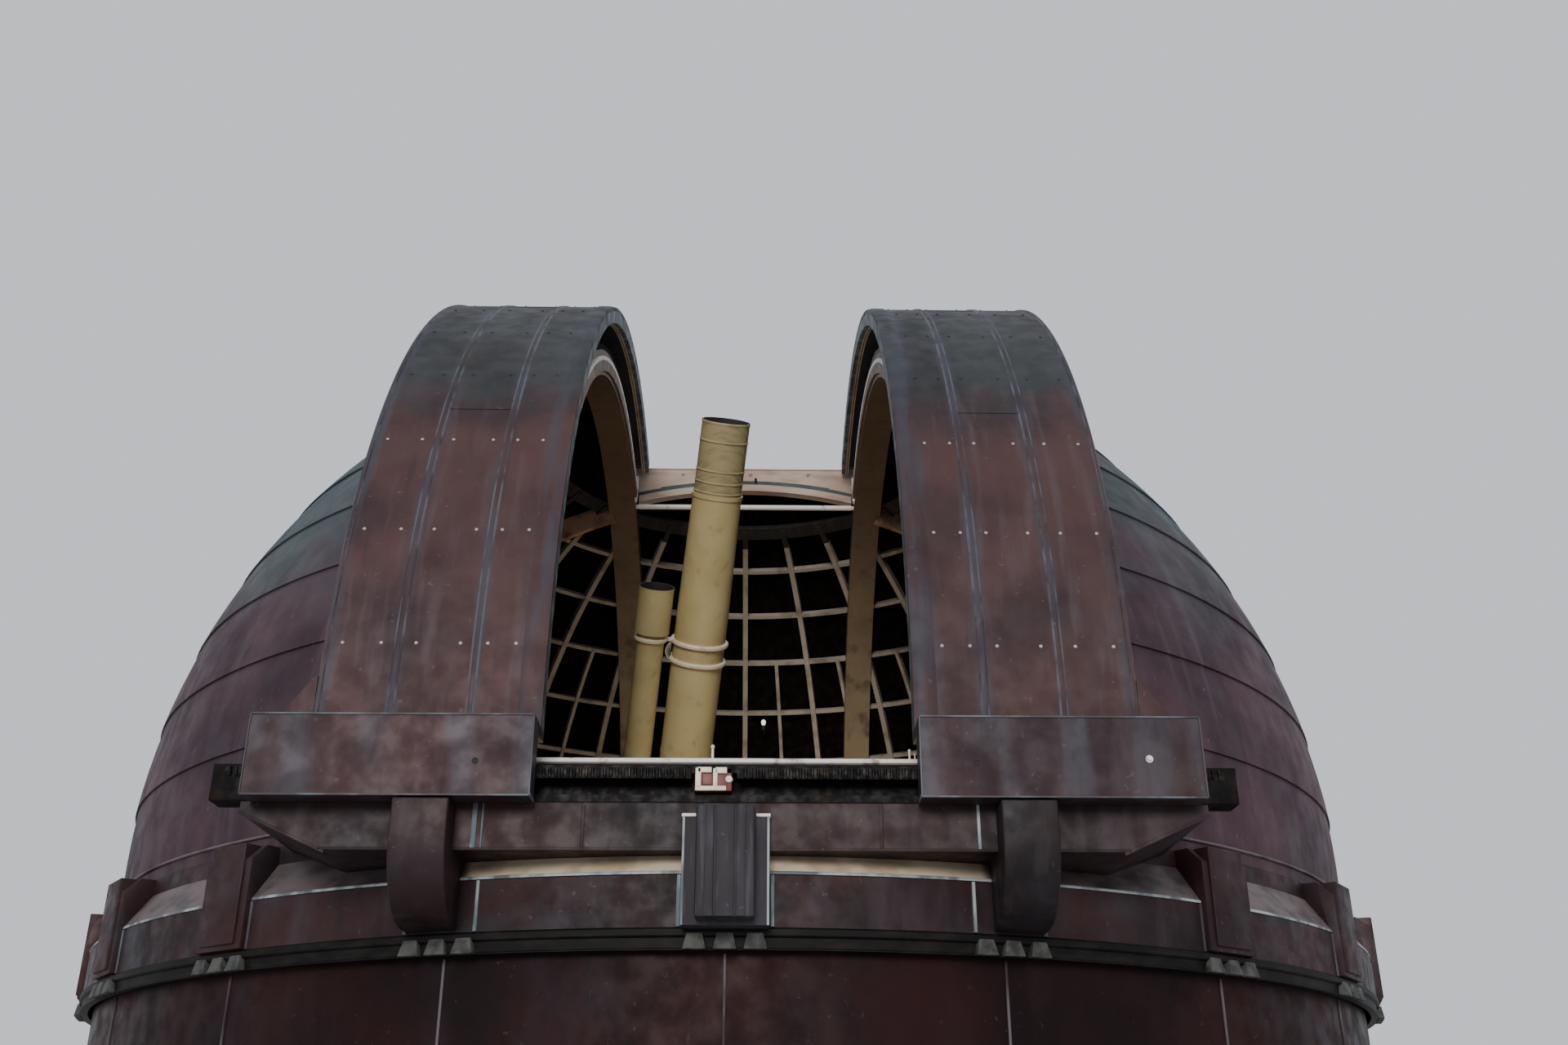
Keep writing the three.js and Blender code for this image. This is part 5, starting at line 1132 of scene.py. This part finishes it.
# The shutters' sheets
# Each shutter is an arch of three rows of copper sheets, joined by flat battens that follow the arch.
# A wider lip lies along the slit, and domed rivets stand in rows of six; above the cross seam the copper is greener.
shutter_copper = new_finish("shutter_copper", (0.07, 0.035, 0.038), 0.5, 0.2, 0.25)
shutter_streaks = grain(shutter_copper, 11, (1.0, 0.12, 0.12), 6.0)
shutter_brown = weather(shutter_copper, shutter_streaks, (0.068, 0.033, 0.032), (0.032, 0.018, 0.020), (0.080, 0.057, 0.062), (0.12, 0.11, 0.12))
shutter_green = tint(shutter_copper, between(shutter_copper, grain(shutter_copper, 2.6, (1, 0.5, 0.5), 6.0), 0.35, 0.68), (0.016, 0.021, 0.023), (0.030, 0.040, 0.043))
shutter_bloom = between(shutter_copper, plus(shutter_copper, height_of(shutter_copper), grain(shutter_copper, 3.0), 0.55), centre_z + 2.38, centre_z + 2.85, 0.0, 0.85)


def run_off(finish, colour, streaks, lines, stain):
    """Blue-grey bands where rain runs off along the battens."""
    for line, reach, strength in lines:
        band = between(finish, from_line(finish, line), reach, 0.01, 0.0, strength)
        colour = tint(finish, times(finish, band, between(finish, streaks, 0.36, 0.58)), colour, stain)
    return colour


shutter_lines = ((1.035, 0.13, 0.6), (1.345, 0.065, 0.65), (1.758, 0.065, 0.65), (2.125, 0.055, 0.75))
paint(
    shutter_copper,
    run_off(shutter_copper, tint(shutter_copper, shutter_bloom, shutter_brown, shutter_green), shutter_streaks, shutter_lines, (0.042, 0.047, 0.062)),
    between(shutter_copper, grain(shutter_copper, 7), 0.3, 0.75, 0.52, 0.74),
)
relief(shutter_copper, grain(shutter_copper, 2.4, detail=2.0), 0.15, 0.01)
foot_angle = math.degrees(math.asin(0.0355 / 4.70))
rear_angle = 105.5
skin = arch("skin", [(0.969, 4.686), (2.152, 4.686), (2.152, 4.716), (0.969, 4.716)], foot_angle, rear_angle, 100)
left_skin = other_side(skin, "left_shutter_sheets")
skin.name = skin.data.name = "right_shutter_sheets"
fit(skin, shutter_copper, "dome_copper", "right_shutter", "right_shutter_skin")
fit(left_skin, shutter_copper, "dome_copper", "left_shutter", "left_shutter_skin")

covers = []
for x, half, rise, ease in ((1.034, 0.065, 0.008, 0.030), (1.345, 0.026, 0.007, 0.013), (1.758, 0.026, 0.007, 0.013), (2.137, 0.0155, 0.008, 0.008)):
    covers.append(arch("batten", [(x - half, 4.7150), (x + half, 4.7150), (x + half - ease, 4.716 + rise), (x - half + ease, 4.716 + rise)], foot_angle, rear_angle, 100))
for angle in (27.8, 54.4, 81.0):
    covers.append(arch("cross_seam", [(1.345, 4.7150), (1.758, 4.7150), (1.758, 4.7190), (1.345, 4.7190)], angle - 0.11, angle + 0.11, 2))
batten_grey = new_finish("batten_grey", (0.11, 0.11, 0.125), 0.6, 0.1, 0.25)
paint(batten_grey, tint(batten_grey, between(batten_grey, grain(batten_grey, 4, detail=6.0), 0.38, 0.62), (0.038, 0.028, 0.032), (0.088, 0.086, 0.100)))
battens_right = unite("right_shutter_battens", covers)
battens_left = other_side(battens_right, "left_shutter_battens")
for piece, body in ((battens_right, "right_shutter"), (battens_left, "left_shutter")):
    piece.data.materials.append(shutter_copper)
    tone(piece, batten_grey, lambda middle, normal: 0.15 < abs(normal.x) < 0.95 and abs(middle.x) > 1.2)
    fit(piece, shutter_copper, "dome_copper", body)

rivet_pale = new_finish("rivet_pale", (0.34, 0.32, 0.32), 0.55, 0.25)
paint(rivet_pale, tint(rivet_pale, grain(rivet_pale, 3.0), (0.24, 0.22, 0.22), (0.48, 0.46, 0.45)))
rivet = draw_profile("rivet", [(0.0105, 0, -0.001), (0.0100, 0, 0.003), (0.006, 0, 0.0065), (0, 0, 0.0075)], False)
spin_profile(steps=10)
rivet_places = []
for row in range(11):
    angle = math.radians(6.05 + 8.93 * row)
    for x in (1.135, 1.285, 1.43, 1.665, 1.85, 2.055):
        outward = Matrix.Rotation(math.radians(90) - angle, 4, "X")
        rivet_places.append(Matrix.Translation((x, -4.716 * math.cos(angle), centre_z + 4.716 * math.sin(angle))) @ outward)
right_rivets = lay_copies(rivet, "right_shutter_rivets", rivet_places)
right_rivets.data.materials.append(rivet_pale)
tone(right_rivets, shutter_copper, lambda middle, normal: middle.z - centre_z > 2.2)
left_rivets = other_side(right_rivets, "left_shutter_rivets")
fit(right_rivets, rivet_pale, "dome_copper", "right_shutter")
fit(left_rivets, rivet_pale, "dome_copper", "left_shutter")

# The shutters' frames
# Steel angles bent to the arch stiffen both edges of each shutter; the one along the slit shows from below.
# It has weathered to a grey teal, with two buff draught strips screwed under it.
frame_teal = new_finish("frame_teal", (0.09, 0.115, 0.125), 0.6, 0.25)
paint(
    frame_teal,
    tint(
        frame_teal,
        between(frame_teal, grain(frame_teal, 8, detail=6.0), 0.42, 0.68),
        (0.055, 0.065, 0.070),
        (0.150, 0.190, 0.200),
    ),
    between(frame_teal, grain(frame_teal, 12), 0.3, 0.7, 0.5, 0.75),
)
inner_frame = arch("right_inner_angle", [(0.9695, 4.596), (1.039, 4.596), (1.039, 4.611), (0.994, 4.612), (0.994, 4.6857), (0.9695, 4.6857)], foot_angle, rear_angle, 100)
outer_frame = arch("right_outer_angle", [(2.1515, 4.450), (2.1515, 4.6857), (2.127, 4.6857), (2.127, 4.462), (2.095, 4.462), (2.095, 4.450)], foot_angle, rear_angle, 100)
draught = [arch("draught_strip", [(x, 4.588), (x + 0.010, 4.588), (x + 0.010, 4.5965), (x, 4.5965)], foot_angle, rear_angle, 100) for x in (1.006, 1.026)]
draught_right = unite("right_draught_strips", draught)
for piece, side, finish, slot, node in (
    (inner_frame, "inner_angle", frame_teal, "shutter_frame", "inner_frame"),
    (outer_frame, "outer_angle", shutter_copper, "shutter_frame", "outer_frame"),
    (draught_right, "draught_strips", fascia_buff, "fascia_paint", None),
):
    twin = other_side(piece, f"left_{side}")
    fit(piece, finish, slot, "right_shutter", *([f"right_shutter_{node}"] if node else []))
    fit(twin, finish, slot, "left_shutter", *([f"left_shutter_{node}"] if node else []))

# The aprons
# A deep box of folded copper closes the foot of each shutter and hooks over the front rail on two wheels.
# Edging strips run round its front, and a triangular gusset stands on it at the outer end.
apron = block("apron_box", (0.969, -4.936, centre_z - 0.383), (2.395, -4.790, centre_z + 0.035), 0)
bpy.ops.object.mode_set(mode="OBJECT")
for part in (apron.data.vertices, apron.data.edges, apron.data.polygons):
    for one in part:
        one.select = False
for face in apron.data.polygons:
    face.select = face.normal.y > 0.5
bpy.context.tool_settings.mesh_select_mode = (False, False, True)
bpy.ops.object.mode_set(mode="EDIT")
bpy.ops.mesh.inset(thickness=0.028, depth=0)
bpy.ops.mesh.extrude_region_move(TRANSFORM_OT_translate={"value": (0, -0.118, 0)})
bpy.ops.mesh.select_mode(type="VERT")
bpy.ops.mesh.select_all(action="SELECT")
bpy.ops.mesh.normals_make_consistent(inside=False)
bpy.ops.object.mode_set(mode="OBJECT")
ledge = block("apron_ledge", (0.969, -4.800, centre_z - 0.020), (2.395, -4.590, centre_z + 0.035), 0.004)
wheel_z = centre_z - 0.185 + 0.0865
wheel = draw_profile("apron_wheel", [(0, -4.660, 0), (0.016, -4.660, 0), (0.020, -4.664, 0), (0.056, -4.664, 0), (0.060, -4.660, 0), (0.084, -4.662, 0), (0.086, -4.668, 0), (0.086, -4.712, 0), (0.084, -4.718, 0), (0.060, -4.720, 0), (0.056, -4.716, 0), (0.020, -4.716, 0), (0.016, -4.720, 0), (0, -4.720, 0)], False)
spin_profile(steps=36, axis=(0, 1, 0))
wheels = lay_copies(wheel, "apron_wheels", [Matrix.Translation((x, 0, wheel_z)) for x in (1.149, 2.215)])
right_apron = unite("right_apron_box", [apron, ledge])
left_apron = other_side(right_apron, "left_apron_box")
left_wheels = other_side(wheels, "left_apron_wheels")
apron_copper = new_finish("apron_copper", (0.05, 0.025, 0.027), 0.5, 0.2, 0.25)
apron_streaks = grain(apron_copper, 9, (1, 1, 0.14), 6.0)
apron_brown = weather(apron_copper, apron_streaks, (0.043, 0.018, 0.020), (0.022, 0.012, 0.015), (0.050, 0.032, 0.038), (0.09, 0.08, 0.09))
apron_lines = ((1.0, 0.11, 0.55), (1.345, 0.15, 0.5), (1.758, 0.15, 0.5), (2.14, 0.16, 0.6), (2.37, 0.09, 0.5))
paint(
    apron_copper,
    run_off(apron_copper, apron_brown, apron_streaks, apron_lines, (0.046, 0.050, 0.061)),
    between(apron_copper, grain(apron_copper, 7), 0.3, 0.75, 0.42, 0.68),
)
relief(apron_copper, grain(apron_copper, 2.4, detail=2.0), 0.3, 0.02)
fit(right_apron, apron_copper, "dome_copper", "right_shutter", "right_shutter_apron")
fit(left_apron, apron_copper, "dome_copper", "left_shutter", "left_shutter_apron")
fit(wheels, greased_steel, "rail_steel", "right_shutter")
fit(left_wheels, greased_steel, "rail_steel", "left_shutter")
edges = [
    block(name, (x0, -4.943, centre_z + z0), (x1, -4.930, centre_z + z1), 0.003)
    for name, x0, z0, x1, z1 in (
        ("apron_head", 0.967, 0.027, 2.397, 0.037), ("apron_hem", 0.967, -0.385, 2.397, -0.375),
        ("apron_end", 0.967, -0.385, 0.975, 0.037), ("apron_tip", 2.389, -0.385, 2.397, 0.037),
    )
]
edges.append(block("apron_corner", (0.965, -4.940, centre_z - 0.385), (0.972, -4.795, centre_z - 0.368), 0.002))
edges.append(block("apron_return", (2.388, -4.940, centre_z + 0.030), (2.398, -4.600, centre_z + 0.038), 0.002))
right_edges = unite("right_apron_edges", edges)
left_edges = other_side(right_edges, "left_apron_edges")
fit(right_edges, seam_verdigris, "dome_copper", "right_shutter")
fit(left_edges, seam_verdigris, "dome_copper", "left_shutter")
# Each hole is a black disc sunk a little into a raised ring: the black is painted shade for the dark inside of the
# hole.
for side, body in ((-1, "left_shutter"), (1, "right_shutter")):
    hole = draw_profile("hole", [(0, -4.9362, 0), (0.017, -4.9362, 0), (0.017, -4.9385, 0), (0.012, -4.9385, 0), (0.010, -4.9365, 0), (0, -4.9365, 0)], False)
    spin_profile(steps=18, axis=(0, 1, 0))
    hole.matrix_world = Matrix.Translation((side * 1.25, 0, centre_z - 0.208))
    fit(unite(f"{body}_hole", [hole]), mouth_black, "dome_copper", body)
bolt = draw_profile("apron_bolt", [(0, -4.936, 0), (0.019, -4.936, 0), (0.019, -4.9395, 0), (0.010, -4.9405, 0), (0.010, -4.951, 0), (0, -4.953, 0)], False)
spin_profile(steps=18, axis=(0, 1, 0))
bolt.matrix_world = Matrix.Translation((2.119, 0, centre_z - 0.185))
fit(unite("apron_bolt", [bolt]), chalk_white, "dome_copper", "right_shutter")
gusset = draw_slab("gusset", [(2.1525, -4.716, centre_z + 0.0352), (2.360, -4.716, centre_z + 0.0352), (2.345, -4.716, centre_z + 0.060), (2.170, -4.716, centre_z + 0.300), (2.1525, -4.716, centre_z + 0.305)], (0, 0.014, 0))
ease_edges(0.002)
gusset_foot = block("gusset_foot", (2.1525, -4.742, centre_z + 0.0352), (2.365, -4.700, centre_z + 0.045), 0.002)
right_gusset = unite("right_gusset", [gusset, gusset_foot])
left_gusset = other_side(right_gusset, "left_gusset")
fit(right_gusset, shutter_copper, "dome_copper", "right_shutter")
fit(left_gusset, shutter_copper, "dome_copper", "left_shutter")
for side, body in (("left", "left_shutter"), ("right", "right_shutter")):
    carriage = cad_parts[f"{side}_shutter_rear_carriage"]
    carriage.data.materials.clear()
    carriage.data.materials.append(frame_teal)

# The lamp
# A small bare lamp shines low down behind the telescope, screwed into a black holder.
# The holder stands on a short pin that is fixed to the nearest rib of the lattice.
lamp = draw_profile("lamp", [(0, 0, 0), (0.019, 0, 0), (0.019, 0, 0.045), (0.013, 0, 0.050), (0.020, 0, 0.066), (0.026, 0, 0.084), (0.023, 0, 0.102), (0.012, 0, 0.113), (0, 0, 0.116)], False)
spin_profile(steps=28)
lamp.data.materials.append(mouth_black)
bulb_glass = new_finish("bulb_glass", (0.9, 0.86, 0.76), 0.3)
paint(bulb_glass, tint(bulb_glass, grain(bulb_glass, 20), (0.92, 0.88, 0.80), (0.84, 0.78, 0.66)))
bulb_glass.node_tree.nodes["Principled BSDF"].inputs["Emission Color"].default_value = (1.0, 0.85, 0.65, 1)
bulb_glass.node_tree.nodes["Principled BSDF"].inputs["Emission Strength"].default_value = 1.2
tone(lamp, bulb_glass, lambda middle, normal: middle.z > 0.048)
pin = block("lamp_pin", (-0.012, -0.012, 0.008), (0.012, 0.20, 0.032), 0.003)
pin.data.materials.append(mouth_black)
lamp = unite("lamp", [lamp, pin])
lamp.matrix_world = turned_to(-3.3) @ Matrix.Translation((0, 3.50, centre_z + 2.43))
fit(unite("lamp", [lamp]), mouth_black, "mount_iron", "dome")
